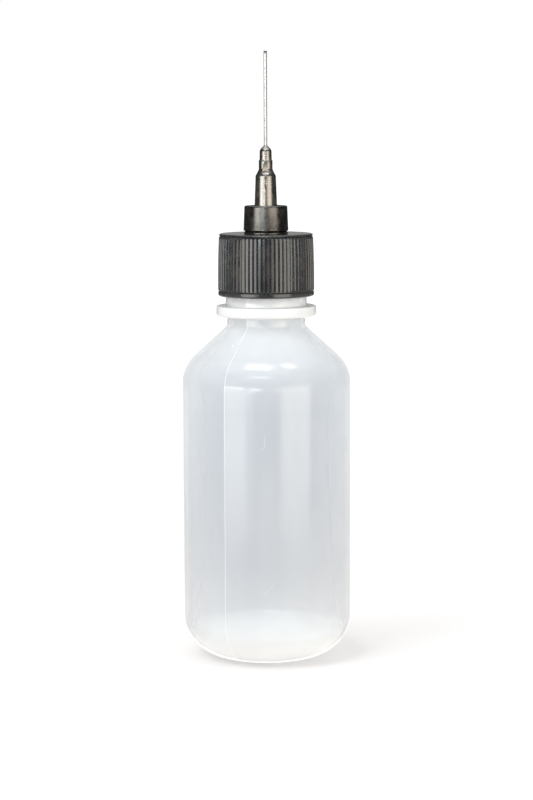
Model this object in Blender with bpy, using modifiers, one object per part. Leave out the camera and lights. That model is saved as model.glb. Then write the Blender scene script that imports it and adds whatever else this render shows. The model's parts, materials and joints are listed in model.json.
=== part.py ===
"""Glue applicator bottle: a soft plastic squeeze bottle whose ribbed screw cap carries a
locking spout fitting and a blunt steel needle.

Metres, +Z up. The origin is the centre of the base, on the surface that the bottle stands on,
and the front of the bottle faces -Y. Every turned piece shares the Z axis.
"""

import math

import bmesh
import bpy
from mathutils import Matrix

MM = 0.001

# ---- driving dimensions ------------------------------------------------------------------

# Blow-moulded bottle
BODY_RADIUS = 24.0 * MM
CORNER_RADIUS = 12.0 * MM  # heel and shoulder share it
WALL = 1.1 * MM
SHOULDER_Z = 77.4 * MM  # where the straight wall ends
SHOULDER_SLOPE = math.radians(42)  # of the shoulder's cone, below horizontal
STANDING_RING_WIDTH = 1.8 * MM
PUSH_UP = 1.4 * MM  # how far the middle of the base is raised
NECK_RADIUS = 11.0 * MM
NECK_BORE_RADIUS = 9.3 * MM
NECK_FILLET = 1.5 * MM
NECK_FOOT_RADIUS = 11.45 * MM  # the neck's thicker foot, on the carrying ring
NECK_FOOT_TOP_Z = 103.6 * MM
FINISH_RADIUS = 11.2 * MM  # the threaded part of the neck
RING_RADIUS = 14.05 * MM  # carrying ring moulded round the neck
RING_BOTTOM_Z = 97.2 * MM
RING_TOP_Z = 100.1 * MM
RIM_Z = 117.9 * MM
BOTTLE_STEPS = 48

# Cap thread: 24 mm finish with one and a half turns, 8 threads to the inch
CAP_PITCH = 3.175 * MM
NECK_THREAD_CREST = 11.85 * MM
NECK_THREAD_START_Z = 111.0 * MM  # ridge's middle at its lower end, on the left
NECK_THREAD_TURNS = 1.5
CAP_THREAD_CREST = 11.45 * MM
CAP_THREAD_DROP = 1.15 * MM  # the cap's ridge bears on the neck ridge from below
CAP_THREAD_TURNS = 1.5
CAP_THREAD_LEAD_IN_TURNS = 0.5  # of the cap's ridge, below the lower end of the neck's
THREAD_STEPS_PER_TURN = 24
CAP_RIDGE_HALVES = (0.85 * MM, 0.35 * MM)  # half its height, at the root and at the crest
RIDGE_SINK = 0.3 * MM  # how far a ridge reaches into its wall, so that the two join

# Cap
CAP_BOTTOM_Z = 102.9 * MM
CAP_TOP_Z = 120.45 * MM
CAP_CEILING_Z = 119.0 * MM
CAP_BAND_RADIUS = 13.52 * MM
CAP_TOP_RADIUS = 13.22 * MM
CAP_BORE_RADIUS = 12.15 * MM
RIB_COUNT = 70
RIB_DEPTH = 0.35 * MM
RIB_BOTTOM_Z = 104.6 * MM
RIB_TOP_Z = 118.6 * MM
RIB_BOTTOM_RADIUS = 13.57 * MM
RIB_TOP_RADIUS = 13.34 * MM
SHANK_HOLE_RADIUS = 2.75 * MM

# Gaps between pieces that rest on each other, and round the shank where it goes through them
SEAT_GAP = 0.1 * MM
SHANK_CLEARANCE = 0.15 * MM

# Cap liner
LINER_THICKNESS = CAP_CEILING_Z - RIM_Z - 2 * SEAT_GAP
LINER_RADIUS = 11.7 * MM
LINER_HOLE_RADIUS = 7.6 * MM

# Spout fitting: a collar and a stem, pulled down onto the cap by a nut inside it
COLLAR_BOTTOM_Z = CAP_TOP_Z + SEAT_GAP
COLLAR_TOP_Z = 128.27 * MM
COLLAR_BASE_RADIUS = 6.35 * MM
COLLAR_TOP_RADIUS = 6.06 * MM
COLLAR_FLOOR = 1.8 * MM
COLLAR_BORE_RADIUS = 4.05 * MM
COLLAR_BORE_CHAMFER = 0.25 * MM
LOCK_THREAD_CREST = 3.5 * MM
LOCK_RIDGE_HALVES = (0.5 * MM, 0.25 * MM)
LOCK_THREAD_AZIMUTH = math.radians(-25)  # where the first of its two ridges begins
LOCK_LEAD = 5.0 * MM  # two starts, 2.5 mm apart
LOCK_THREAD_START_Z = 125.0 * MM
LOCK_THREAD_TURNS = 0.5
O_RING_RADIUS = 3.35 * MM
O_RING_CORD_RADIUS = 0.4 * MM
SHANK_RADIUS = 2.5 * MM
STEM_BOTTOM_Z = 114.6 * MM
STEM_FLANGE_RADIUS = 3.3 * MM
STEM_FLANGE_THICKNESS = 0.9 * MM
STEM_BORE_RADIUS = 1.0 * MM
TAPER_BASE_RADIUS = 2.2 * MM
TAPER_LENGTH = 7.0 * MM
TAPER_SLOPE = 0.03  # radius lost per unit of length: the 6 % taper of needle fittings
WASHER_THICKNESS = 0.8 * MM
WASHER_RADIUS = 5.0 * MM
NUT_THICKNESS = 2.7 * MM
NUT_ACROSS_FLATS = 8.0 * MM

# Needle
HUB_BOTTOM_Z = 123.65 * MM
HUB_SHOULDER_Z = 136.4 * MM
HUB_TOP_Z = 144.95 * MM
HUB_BASE_RADIUS = 3.34 * MM
HUB_SHOULDER_RADIUS = 2.87 * MM
HUB_WAIST_RADIUS = 2.1 * MM
HUB_FLARE_LENGTH = 2.3 * MM  # from the waist out to the shoulder
NOSE_RADIUS = 1.68 * MM
NOSE_ROUND = 1.1 * MM
NOSE_FACE = 0.25 * MM  # depth of the flat cone round the tube, inside the nose's round
SOCKET_GAP = 0.1 * MM
SOCKET_TOP_Z = 131.2 * MM
FUNNEL_LENGTH = 1.0 * MM  # from the socket in to the tube's bore
HUB_BORE_RADIUS = 0.5 * MM
COUNTERSINK_RADIUS = 0.82 * MM
COUNTERSINK_DEPTH = 0.45 * MM
LUG_RADIUS = 3.85 * MM
LUG_WIDTH = 2.2 * MM
LUG_THICKNESS = 0.7 * MM
LUG_LIFT = 0.1 * MM  # of the lugs above the hub's foot
FLAT_DISTANCE = 1.93 * MM
FLAT_WIDTH = 1.7 * MM
FLAT_BOTTOM_Z = 138.0 * MM
FLAT_TOP_Z = 140.85 * MM
FLAT_RUN_OUT_RADIUS = 1.3 * MM
NOTCH_WIDTH = 0.4 * MM
NOTCH_DEPTH = 0.2 * MM
NOTCH_BOTTOM_Z = 133.4 * MM
TUBE_RADIUS = 0.45 * MM
TUBE_BORE_RADIUS = 0.3 * MM
TUBE_BOTTOM_Z = 132.8 * MM
TUBE_TOP_Z = 171.28 * MM
BEAD_GAP = 0.05 * MM  # between the tube and the solder bead
BEAD_RISE = 0.35 * MM  # of the bead above the nose, and about how deep it goes

LEFT = math.pi  # azimuth of the side where the neck's thread begins
SMALL_STEPS = 32
TUBE_STEPS = 16
MERGE = 0.00002 * MM
SHARP_ANGLE = math.radians(32)


# ---- helpers -----------------------------------------------------------------------------


def clear_scene():
    for obj in list(bpy.data.objects):
        bpy.data.objects.remove(obj)


def new_collection(name):
    collection = bpy.data.collections.new(name)
    bpy.context.scene.collection.children.link(collection)
    return collection


def material(name, colour, roughness, metallic=0.0):
    made = bpy.data.materials.new(name)
    made.use_nodes = True
    shader = made.node_tree.nodes["Principled BSDF"]
    shader.inputs["Base Color"].default_value = (*colour, 1.0)
    shader.inputs["Roughness"].default_value = roughness
    shader.inputs["Metallic"].default_value = metallic
    return made


def arc(centre_r, centre_z, radius, start, end, steps):
    """Points (r, z) of an arc. Angles are in degrees from +r towards +z."""
    angles = [math.radians(start + (end - start) * i / steps) for i in range(steps + 1)]
    return [(centre_r + radius * math.cos(a), centre_z + radius * math.sin(a)) for a in angles]


def baked(obj):
    """Replaces the object's mesh with what its modifiers make of it."""
    bpy.context.view_layer.update()
    evaluated = obj.evaluated_get(bpy.context.evaluated_depsgraph_get())
    mesh = bpy.data.meshes.new_from_object(evaluated)
    obj.modifiers.clear()
    obj.data = mesh
    mesh.shade_smooth()
    mesh.set_sharp_from_angle(angle=SHARP_ANGLE)
    return obj


def turned(name, profile, steps, collection, closed=False):
    """A profile of (r, z) points turned round Z. It runs down its outer side, top to bottom.
    An open profile starts and ends on the axis, and a closed one makes a ring."""
    edges = [(i, i + 1) for i in range(len(profile) - 1)]
    if closed:
        edges.append((len(profile) - 1, 0))
    mesh = bpy.data.meshes.new(name)
    mesh.from_pydata([(r, 0, z) for r, z in profile], edges, [])
    obj = bpy.data.objects.new(name, mesh)
    collection.objects.link(obj)
    screw = obj.modifiers.new("Turn", "SCREW")
    screw.steps = screw.render_steps = steps
    screw.use_merge_vertices = True
    screw.merge_threshold = MERGE
    return baked(obj)


def helical_ridge(name, section, lead, turns, start_azimuth, collection):
    """A thread ridge: a section of (r, z) points, z measured from the ridge's middle, swept up a
    right-hand helix and capped at both ends."""
    mesh = bpy.data.meshes.new(name)
    corners = len(section)
    mesh.from_pydata(
        [(r, 0, z) for r, z in section],
        [(i, (i + 1) % corners) for i in range(corners)],
        [],
    )
    obj = bpy.data.objects.new(name, mesh)
    collection.objects.link(obj)
    screw = obj.modifiers.new("Helix", "SCREW")
    screw.angle = 2 * math.pi * turns
    screw.screw_offset = lead * turns
    screw.steps = screw.render_steps = round(THREAD_STEPS_PER_TURN * turns)
    baked(obj)
    shape = bmesh.new()
    shape.from_mesh(obj.data)
    bmesh.ops.holes_fill(shape, edges=[e for e in shape.edges if e.is_boundary], sides=0)
    bmesh.ops.recalc_face_normals(shape, faces=shape.faces)
    shape.to_mesh(obj.data)
    shape.free()
    obj.data.transform(Matrix.Rotation(start_azimuth, 4, "Z"))
    return obj


def ridge_section(root_radius, crest_radius, middle_z, halves):
    """Four corners of a trapezium thread ridge. halves is half its height at the root and at
    the crest."""
    root_half, crest_half = halves
    return [
        (root_radius, middle_z - root_half),
        (crest_radius, middle_z - crest_half),
        (crest_radius, middle_z + crest_half),
        (root_radius, middle_z + root_half),
    ]


def box(name, size, centre, collection):
    mesh = bpy.data.meshes.new(name)
    shape = bmesh.new()
    bmesh.ops.create_cube(shape, size=1.0)
    bmesh.ops.scale(shape, vec=size, verts=shape.verts)
    bmesh.ops.translate(shape, vec=centre, verts=shape.verts)
    shape.to_mesh(mesh)
    shape.free()
    obj = bpy.data.objects.new(name, mesh)
    collection.objects.link(obj)
    return obj


def cylinder(name, radius, length, steps, matrix, collection):
    mesh = bpy.data.meshes.new(name)
    shape = bmesh.new()
    bmesh.ops.create_cone(
        shape,
        cap_ends=True,
        segments=steps,
        radius1=radius,
        radius2=radius,
        depth=length,
        matrix=matrix,
    )
    shape.to_mesh(mesh)
    shape.free()
    obj = bpy.data.objects.new(name, mesh)
    collection.objects.link(obj)
    return obj


def extruded(name, outline, thickness, matrix, collection):
    """A flat outline of (x, y) points, made thick along +Z and then placed by the matrix."""
    mesh = bpy.data.meshes.new(name)
    shape = bmesh.new()
    face = shape.faces.new([shape.verts.new((x, y, 0)) for x, y in outline])
    grown = bmesh.ops.extrude_face_region(shape, geom=[face])
    top = [v for v in grown["geom"] if isinstance(v, bmesh.types.BMVert)]
    bmesh.ops.translate(shape, vec=(0, 0, thickness), verts=top)
    bmesh.ops.recalc_face_normals(shape, faces=shape.faces)
    bmesh.ops.transform(shape, matrix=matrix, verts=shape.verts)
    shape.to_mesh(mesh)
    shape.free()
    obj = bpy.data.objects.new(name, mesh)
    collection.objects.link(obj)
    return obj


def boolean(obj, other, operation):
    """Cuts other from obj, or joins it on. other becomes a helper that isn't a piece."""
    modifier = obj.modifiers.new(f"{operation.title()} {other.name}", "BOOLEAN")
    modifier.operation = operation
    modifier.object = other
    other.hide_render = True
    other.display_type = "WIRE"


def place(obj, parent, z, surface):
    """Puts the origin of a piece at height z on the common axis, without moving its shape, and
    parents it to the empty of its assembly."""
    obj.data.transform(Matrix.Translation((0, 0, -z)))
    obj.parent = parent
    obj.location = (0, 0, z - parent.location.z)
    obj.data.materials.clear()
    obj.data.materials.append(surface)
    return obj


def assembly(name, z, collection):
    empty = bpy.data.objects.new(name, None)
    empty.empty_display_size = 5 * MM
    empty.location = (0, 0, z)
    collection.objects.link(empty)
    return empty


# ---- bottle ------------------------------------------------------------------------------


def shoulder_end(radius):
    """Where a shoulder arc of this radius runs into the shoulder's cone."""
    centre_r = BODY_RADIUS - CORNER_RADIUS
    return (
        centre_r + radius * math.sin(SHOULDER_SLOPE),
        SHOULDER_Z + radius * math.cos(SHOULDER_SLOPE),
    )


def cone_z(point, r):
    """Height at radius r on the shoulder's cone through a point."""
    return point[1] + (point[0] - r) * math.tan(SHOULDER_SLOPE)


def bottle_outside():
    """From the rim down to the middle of the base."""
    corner_r = BODY_RADIUS - CORNER_RADIUS
    tangent_r, tangent_z = shoulder_end(CORNER_RADIUS)
    fillet_r = NECK_RADIUS + NECK_FILLET
    fillet_z = tangent_z + (
        NECK_FILLET + (tangent_r - fillet_r) * math.sin(SHOULDER_SLOPE)
    ) / math.cos(SHOULDER_SLOPE)
    slope = math.degrees(SHOULDER_SLOPE)
    rim_chamfer, foot_chamfer = 0.4 * MM, 0.4 * MM
    ring_top_round, ring_bottom_round = 0.3 * MM, 0.7 * MM
    points = [
        (FINISH_RADIUS - rim_chamfer, RIM_Z),
        (FINISH_RADIUS, RIM_Z - rim_chamfer),
        (FINISH_RADIUS, NECK_FOOT_TOP_Z + foot_chamfer),
        (NECK_FOOT_RADIUS, NECK_FOOT_TOP_Z),
        (NECK_FOOT_RADIUS, RING_TOP_Z),
        (RING_RADIUS - ring_top_round, RING_TOP_Z),
        (RING_RADIUS, RING_TOP_Z - ring_top_round),
    ]
    points += arc(RING_RADIUS - ring_bottom_round, RING_BOTTOM_Z + ring_bottom_round,
                  ring_bottom_round, 0, -90, 2)
    points.append((NECK_RADIUS, RING_BOTTOM_Z))
    points += arc(fillet_r, fillet_z, NECK_FILLET, 180, 270 - slope, 2)
    points += arc(corner_r, SHOULDER_Z, CORNER_RADIUS, 90 - slope, 0, 5)
    points += arc(corner_r, CORNER_RADIUS, CORNER_RADIUS, 0, -90, 7)
    dome_r = corner_r - STANDING_RING_WIDTH
    points.append((dome_r, 0))
    points += [(dome_r * k, PUSH_UP * (1 - k * k)) for k in (0.85, 0.5)]
    points.append((0, PUSH_UP))
    return points


def bottle_inside():
    """From the middle of the floor up to the rim."""
    corner_r = BODY_RADIUS - CORNER_RADIUS
    inner_corner = CORNER_RADIUS - WALL
    inner_end = shoulder_end(inner_corner)
    floor_z = PUSH_UP + WALL
    slope = math.degrees(SHOULDER_SLOPE)
    points = [(0, floor_z), (corner_r * 0.5, WALL + PUSH_UP * 0.75)]
    points += arc(corner_r, CORNER_RADIUS, inner_corner, -90, 0, 5)
    points += arc(corner_r, SHOULDER_Z, inner_corner, 0, 90 - slope, 4)
    points.append((NECK_BORE_RADIUS, cone_z(inner_end, NECK_BORE_RADIUS)))
    points.append((NECK_BORE_RADIUS, RIM_Z))
    return points


def make_bottle(parts, cutters):
    bottle = turned("bottle", bottle_inside() + bottle_outside(), BOTTLE_STEPS, parts)
    section = ridge_section(
        FINISH_RADIUS - RIDGE_SINK, NECK_THREAD_CREST, NECK_THREAD_START_Z, CAP_RIDGE_HALVES
    )
    ridge = helical_ridge("neck_thread", section, CAP_PITCH, NECK_THREAD_TURNS, LEFT, cutters)
    boolean(bottle, ridge, "UNION")
    return bottle


# ---- cap ---------------------------------------------------------------------------------


def cap_outside():
    """From the middle of the top down to the middle of the bottom, as a solid."""
    top_round, bottom_round, ledge = 0.75 * MM, 0.35 * MM, 0.15 * MM
    wall_draft = 0.05 * MM
    points = [(0, CAP_TOP_Z)]
    points += arc(CAP_TOP_RADIUS - top_round, CAP_TOP_Z - top_round, top_round, 90, 0, 3)
    points += [
        (CAP_TOP_RADIUS + wall_draft, RIB_TOP_Z + ledge),
        (RIB_TOP_RADIUS, RIB_TOP_Z),
        (RIB_BOTTOM_RADIUS, RIB_BOTTOM_Z),
        (CAP_BAND_RADIUS, RIB_BOTTOM_Z - ledge),
        (CAP_BAND_RADIUS, CAP_BOTTOM_Z + bottom_round),
        (CAP_BAND_RADIUS - bottom_round, CAP_BOTTOM_Z),
        (0, CAP_BOTTOM_Z),
    ]
    return points


def cap_hollow():
    """The bore for the neck, flared a little at its mouth."""
    over = 0.5 * MM
    return [
        (0, CAP_CEILING_Z),
        (CAP_BORE_RADIUS, CAP_CEILING_Z),
        (CAP_BORE_RADIUS, CAP_BOTTOM_Z + over),
        (CAP_BORE_RADIUS + 2 * over, CAP_BOTTOM_Z - over),
        (0, CAP_BOTTOM_Z - over),
    ]


def press_ribs(cap):
    """Pulls every second column of the grip inwards, which leaves the ribs standing."""
    column = math.pi / RIB_COUNT
    for vertex in cap.data.vertices:
        x, y, z = vertex.co
        radius = math.hypot(x, y)
        on_grip = RIB_BOTTOM_Z - MERGE < z < RIB_TOP_Z + MERGE and radius > CAP_TOP_RADIUS
        if on_grip and round(math.atan2(y, x) / column) % 2:
            vertex.co.x *= (radius - RIB_DEPTH) / radius
            vertex.co.y *= (radius - RIB_DEPTH) / radius


def make_screw_cap(parts, cutters):
    cap = turned("screw_cap", cap_outside(), 2 * RIB_COUNT, parts)
    press_ribs(cap)
    hollow = turned("cap_hollow", cap_hollow(), BOTTLE_STEPS, cutters)
    boolean(cap, hollow, "DIFFERENCE")
    top_middle = Matrix.Translation((0, 0, (CAP_CEILING_Z + CAP_TOP_Z) / 2))
    hole_length = 2 * (CAP_TOP_Z - CAP_CEILING_Z)
    hole = cylinder(
        "shank_hole", SHANK_HOLE_RADIUS, hole_length, SMALL_STEPS, top_middle, cutters
    )
    boolean(cap, hole, "DIFFERENCE")
    start_z = NECK_THREAD_START_Z - CAP_THREAD_DROP - CAP_THREAD_LEAD_IN_TURNS * CAP_PITCH
    section = ridge_section(
        CAP_BORE_RADIUS + RIDGE_SINK, CAP_THREAD_CREST, start_z, CAP_RIDGE_HALVES
    )
    ridge = helical_ridge(
        "cap_thread",
        section,
        CAP_PITCH,
        CAP_THREAD_TURNS,
        LEFT - 2 * math.pi * CAP_THREAD_LEAD_IN_TURNS,
        cutters,
    )
    boolean(cap, ridge, "UNION")
    return cap


def flat_ring(name, outer, inner, bottom, top, steps, parts):
    profile = [(inner, top), (outer, top), (outer, bottom), (inner, bottom)]
    return turned(name, profile, steps, parts, closed=True)


def make_cap_liner(parts):
    bottom = RIM_Z + SEAT_GAP
    top = bottom + LINER_THICKNESS
    return flat_ring("cap_liner", LINER_RADIUS, LINER_HOLE_RADIUS, bottom, top, BOTTLE_STEPS, parts)


# ---- spout fitting -----------------------------------------------------------------------


def collar_profile():
    top_round, foot_round = 0.55 * MM, 0.3 * MM
    floor_z = COLLAR_BOTTOM_Z + COLLAR_FLOOR
    hole = SHANK_RADIUS + SHANK_CLEARANCE
    pocket_r = O_RING_RADIUS + O_RING_CORD_RADIUS + SEAT_GAP
    pocket_z = COLLAR_BOTTOM_Z + 2 * O_RING_CORD_RADIUS + 1.5 * SEAT_GAP
    points = [(COLLAR_BORE_RADIUS + COLLAR_BORE_CHAMFER, COLLAR_TOP_Z)]
    points += arc(COLLAR_TOP_RADIUS - top_round, COLLAR_TOP_Z - top_round, top_round, 90, 0, 3)
    points += [
        (COLLAR_BASE_RADIUS, COLLAR_BOTTOM_Z + foot_round),
        (COLLAR_BASE_RADIUS - foot_round, COLLAR_BOTTOM_Z),
        (pocket_r, COLLAR_BOTTOM_Z),
        (pocket_r, pocket_z),
        (hole, pocket_z),
        (hole, floor_z),
        (COLLAR_BORE_RADIUS, floor_z),
        (COLLAR_BORE_RADIUS, COLLAR_TOP_Z - COLLAR_BORE_CHAMFER),
    ]
    return points


def make_lock_collar(parts, cutters):
    collar = turned("lock_collar", collar_profile(), BOTTLE_STEPS, parts, closed=True)
    section = ridge_section(
        COLLAR_BORE_RADIUS + RIDGE_SINK, LOCK_THREAD_CREST, LOCK_THREAD_START_Z, LOCK_RIDGE_HALVES
    )
    for start in range(2):
        ridge = helical_ridge(
            f"lock_thread_{start + 1}",
            section,
            LOCK_LEAD,
            LOCK_THREAD_TURNS,
            LOCK_THREAD_AZIMUTH + math.pi * start,
            cutters,
        )
        boolean(collar, ridge, "UNION")
    return collar


def taper_radius(z):
    """Radius of the stem's taper at height z, from its base on the flange."""
    return TAPER_BASE_RADIUS - TAPER_SLOPE * (z - stem_flange_top())


def stem_flange_top():
    return COLLAR_BOTTOM_Z + COLLAR_FLOOR + SEAT_GAP + STEM_FLANGE_THICKNESS


def make_spout_stem(parts):
    flange_top = stem_flange_top()
    tip_z = flange_top + TAPER_LENGTH
    tip_round, shank_chamfer = 0.25 * MM, 0.4 * MM
    profile = [
        (STEM_BORE_RADIUS, tip_z),
        (taper_radius(tip_z) - tip_round, tip_z),
        (taper_radius(tip_z), tip_z - tip_round),
        (TAPER_BASE_RADIUS, flange_top),
        (STEM_FLANGE_RADIUS, flange_top),
        (STEM_FLANGE_RADIUS, flange_top - STEM_FLANGE_THICKNESS),
        (SHANK_RADIUS, flange_top - STEM_FLANGE_THICKNESS),
        (SHANK_RADIUS, STEM_BOTTOM_Z + shank_chamfer),
        (SHANK_RADIUS - shank_chamfer, STEM_BOTTOM_Z),
        (STEM_BORE_RADIUS, STEM_BOTTOM_Z),
    ]
    return turned("spout_stem", profile, SMALL_STEPS, parts, closed=True)


def make_stem_o_ring(parts):
    middle_z = COLLAR_BOTTOM_Z + O_RING_CORD_RADIUS + 0.5 * SEAT_GAP
    profile = arc(O_RING_RADIUS, middle_z, O_RING_CORD_RADIUS, 90, -225, 7)
    return turned("stem_o_ring", profile, SMALL_STEPS, parts, closed=True)


def make_nut_washer(parts):
    top = CAP_CEILING_Z - SEAT_GAP
    bottom = top - WASHER_THICKNESS
    hole = SHANK_RADIUS + SHANK_CLEARANCE
    return flat_ring("nut_washer", WASHER_RADIUS, hole, bottom, top, SMALL_STEPS, parts)


def make_lock_nut(parts, cutters):
    top = CAP_CEILING_Z - 2 * SEAT_GAP - WASHER_THICKNESS
    middle = Matrix.Translation((0, 0, top - NUT_THICKNESS / 2))
    corner_radius = NUT_ACROSS_FLATS / 2 / math.cos(math.pi / 6)
    nut = cylinder("lock_nut", corner_radius, NUT_THICKNESS, 6, middle, parts)
    bore_radius = SHANK_RADIUS + SEAT_GAP
    bore = cylinder(
        "lock_nut_bore", bore_radius, 2 * NUT_THICKNESS, SMALL_STEPS, middle, cutters
    )
    boolean(nut, bore, "DIFFERENCE")
    return nut


# ---- needle ------------------------------------------------------------------------------


def hub_outside():
    """From the middle of the nose down to the middle of the base, as a solid."""
    nose_draft, ledge_round, ledge_draft = 0.04 * MM, 0.2 * MM, 0.08 * MM
    nose_z = HUB_TOP_Z - NOSE_ROUND - NOSE_FACE
    points = [(0, HUB_TOP_Z)]
    points += arc(NOSE_RADIUS - NOSE_ROUND, nose_z, NOSE_ROUND, 68, 0, 5)
    points += [
        (NOSE_RADIUS + nose_draft, FLAT_TOP_Z + ledge_round),
        (HUB_WAIST_RADIUS - ledge_draft, FLAT_TOP_Z - ledge_round / 4),
        (HUB_WAIST_RADIUS, FLAT_TOP_Z - 5 * ledge_round),
    ]
    flare_z = HUB_SHOULDER_Z + HUB_FLARE_LENGTH
    for k in (0.0, 0.35, 0.65, 0.9):
        blend = k * k * (3 - 2 * k)
        radius = HUB_WAIST_RADIUS + (HUB_SHOULDER_RADIUS - HUB_WAIST_RADIUS) * blend
        points.append((radius, flare_z + (HUB_SHOULDER_Z - flare_z) * k))
    points += [
        (HUB_SHOULDER_RADIUS, HUB_SHOULDER_Z),
        (HUB_BASE_RADIUS, HUB_BOTTOM_Z),
        (0, HUB_BOTTOM_Z),
    ]
    return points


def hub_cavity():
    """The tapered socket, its funnel, the tube's bore and the countersink at the nose."""
    over = 0.5 * MM
    mouth_z = HUB_BOTTOM_Z - over
    socket_top_radius = taper_radius(SOCKET_TOP_Z) + SOCKET_GAP
    return [
        (0, HUB_TOP_Z + over),
        (COUNTERSINK_RADIUS + over, HUB_TOP_Z + over),
        (COUNTERSINK_RADIUS, HUB_TOP_Z),
        (HUB_BORE_RADIUS, HUB_TOP_Z - COUNTERSINK_DEPTH),
        (HUB_BORE_RADIUS, SOCKET_TOP_Z + FUNNEL_LENGTH),
        (socket_top_radius, SOCKET_TOP_Z),
        (taper_radius(mouth_z) + SOCKET_GAP, mouth_z),
        (0, mouth_z),
    ]


def lug_bar(cutters):
    """A bar across the hub's base with round ends: what is left of it outside the hub's wall is
    the pair of locking lugs."""
    end_angle = math.asin(LUG_WIDTH / 2 / LUG_RADIUS)
    angles = [end_angle * k for k in (-1, -0.5, 0, 0.5, 1)]
    outline = [(LUG_RADIUS * math.cos(a), LUG_RADIUS * math.sin(a)) for a in angles]
    outline += [(-x, -y) for x, y in outline]
    seat = Matrix.Translation((0, 0, HUB_BOTTOM_Z + LUG_LIFT))
    return extruded("lug_bar", outline, LUG_THICKNESS, seat, cutters)


def flat_cutter(azimuth, cutters):
    """Cuts a milled flat on the hub's waist. The flat runs out at the bottom in the curve that
    the milling cutter leaves."""
    reach = 1.0 * MM
    centre_r = FLAT_DISTANCE + FLAT_RUN_OUT_RADIUS
    top_z = FLAT_TOP_Z + 0.4 * reach
    outline = [(centre_r + reach, top_z), (FLAT_DISTANCE, top_z)]
    outline += arc(centre_r, FLAT_BOTTOM_Z, FLAT_RUN_OUT_RADIUS, 180, 270, 6)
    outline.append((centre_r + reach, FLAT_BOTTOM_Z - FLAT_RUN_OUT_RADIUS))
    # The outline's plane stands upright, with its first axis pointing out at the azimuth.
    upright = (
        Matrix.Rotation(azimuth, 4, "Z")
        @ Matrix.Rotation(math.pi / 2, 4, "X")
        @ Matrix.Translation((0, 0, -FLAT_WIDTH / 2))
    )
    label = round(math.degrees(azimuth)) % 360
    return extruded(f"flat_{label}", outline, FLAT_WIDTH, upright, cutters)


def make_needle_hub(parts, cutters):
    hub = turned("needle_hub", hub_outside(), SMALL_STEPS, parts)
    boolean(hub, lug_bar(cutters), "UNION")
    cavity = turned("hub_cavity", hub_cavity(), SMALL_STEPS, cutters)
    boolean(hub, cavity, "DIFFERENCE")
    for quarter in range(4):
        boolean(hub, flat_cutter(quarter * math.pi / 2, cutters), "DIFFERENCE")
    over = 0.2 * MM
    cutter_depth = 1.0 * MM
    notch_height = HUB_SHOULDER_Z + over - NOTCH_BOTTOM_Z
    notch = box(
        "index_notch",
        (NOTCH_WIDTH, cutter_depth, notch_height),
        (
            0,
            -HUB_SHOULDER_RADIUS + NOTCH_DEPTH - cutter_depth / 2,
            NOTCH_BOTTOM_Z + notch_height / 2,
        ),
        cutters,
    )
    boolean(hub, notch, "DIFFERENCE")
    return hub


def make_needle_tube(parts):
    return flat_ring(
        "needle_tube", TUBE_RADIUS, TUBE_BORE_RADIUS, TUBE_BOTTOM_Z, TUBE_TOP_Z, TUBE_STEPS, parts
    )


def make_solder_fillet(parts):
    """The bead that seals the tube into the nose's countersink."""
    inner = TUBE_RADIUS + BEAD_GAP
    foot_z = HUB_TOP_Z - BEAD_RISE
    profile = [
        (inner, HUB_TOP_Z + BEAD_RISE),
        (inner + 0.4 * BEAD_RISE, HUB_TOP_Z + 0.35 * BEAD_RISE),
        (COUNTERSINK_RADIUS - BEAD_GAP, HUB_TOP_Z - 0.05 * BEAD_RISE),
        (inner + 0.08 * BEAD_RISE, foot_z),
        (inner, foot_z),
    ]
    return turned("solder_fillet", profile, TUBE_STEPS, parts, closed=True)


# ---- assembly ----------------------------------------------------------------------------


def main():
    clear_scene()
    parts = new_collection("glue_applicator_bottle")
    cutters = new_collection("cutters")

    milky = material("milky_polyethylene", (0.86, 0.88, 0.90), 0.35)
    black = material("black_ribbed_plastic", (0.02, 0.02, 0.022), 0.35)
    foam = material("white_foam", (0.88, 0.88, 0.86), 0.8)
    smoked = material("black_nickel", (0.22, 0.21, 0.20), 0.22, 1.0)
    nickel = material("bright_nickel", (0.78, 0.75, 0.70), 0.12, 1.0)
    steel = material("stainless_steel", (0.72, 0.73, 0.74), 0.2, 1.0)
    rubber = material("black_rubber", (0.03, 0.03, 0.03), 0.7)
    solder = material("solder", (0.66, 0.67, 0.68), 0.3, 1.0)

    root = assembly("bottle_assembly", 0.0, parts)
    place(make_bottle(parts, cutters), root, 0.0, milky)

    cap_axis = assembly("cap_assembly", CAP_BOTTOM_Z, parts)
    cap_pieces = (
        (make_screw_cap(parts, cutters), black),
        (make_cap_liner(parts), foam),
        (make_lock_collar(parts, cutters), smoked),
        (make_spout_stem(parts), nickel),
        (make_stem_o_ring(parts), rubber),
        (make_nut_washer(parts), steel),
        (make_lock_nut(parts, cutters), steel),
    )
    for piece, surface in cap_pieces:
        place(piece, cap_axis, CAP_BOTTOM_Z, surface)

    needle_axis = assembly("needle_assembly", HUB_BOTTOM_Z, parts)
    needle_pieces = (
        (make_needle_hub(parts, cutters), nickel),
        (make_needle_tube(parts), steel),
        (make_solder_fillet(parts), solder),
    )
    for piece, surface in needle_pieces:
        place(piece, needle_axis, HUB_BOTTOM_Z, surface)


main()
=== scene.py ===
# %% [markdown]
# # A glue applicator bottle
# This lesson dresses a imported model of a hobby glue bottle: a milky squeeze bottle, a black cap
# with a fine grip, a dark locking collar and a blunt steel needle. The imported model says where
# each piece is and how it moves. It is loaded first and is never changed. Every piece below is
# built to its sizes, and then stands for it.

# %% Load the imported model
import json
import math

import bmesh
import bpy
from mathutils import Matrix, Vector

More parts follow.
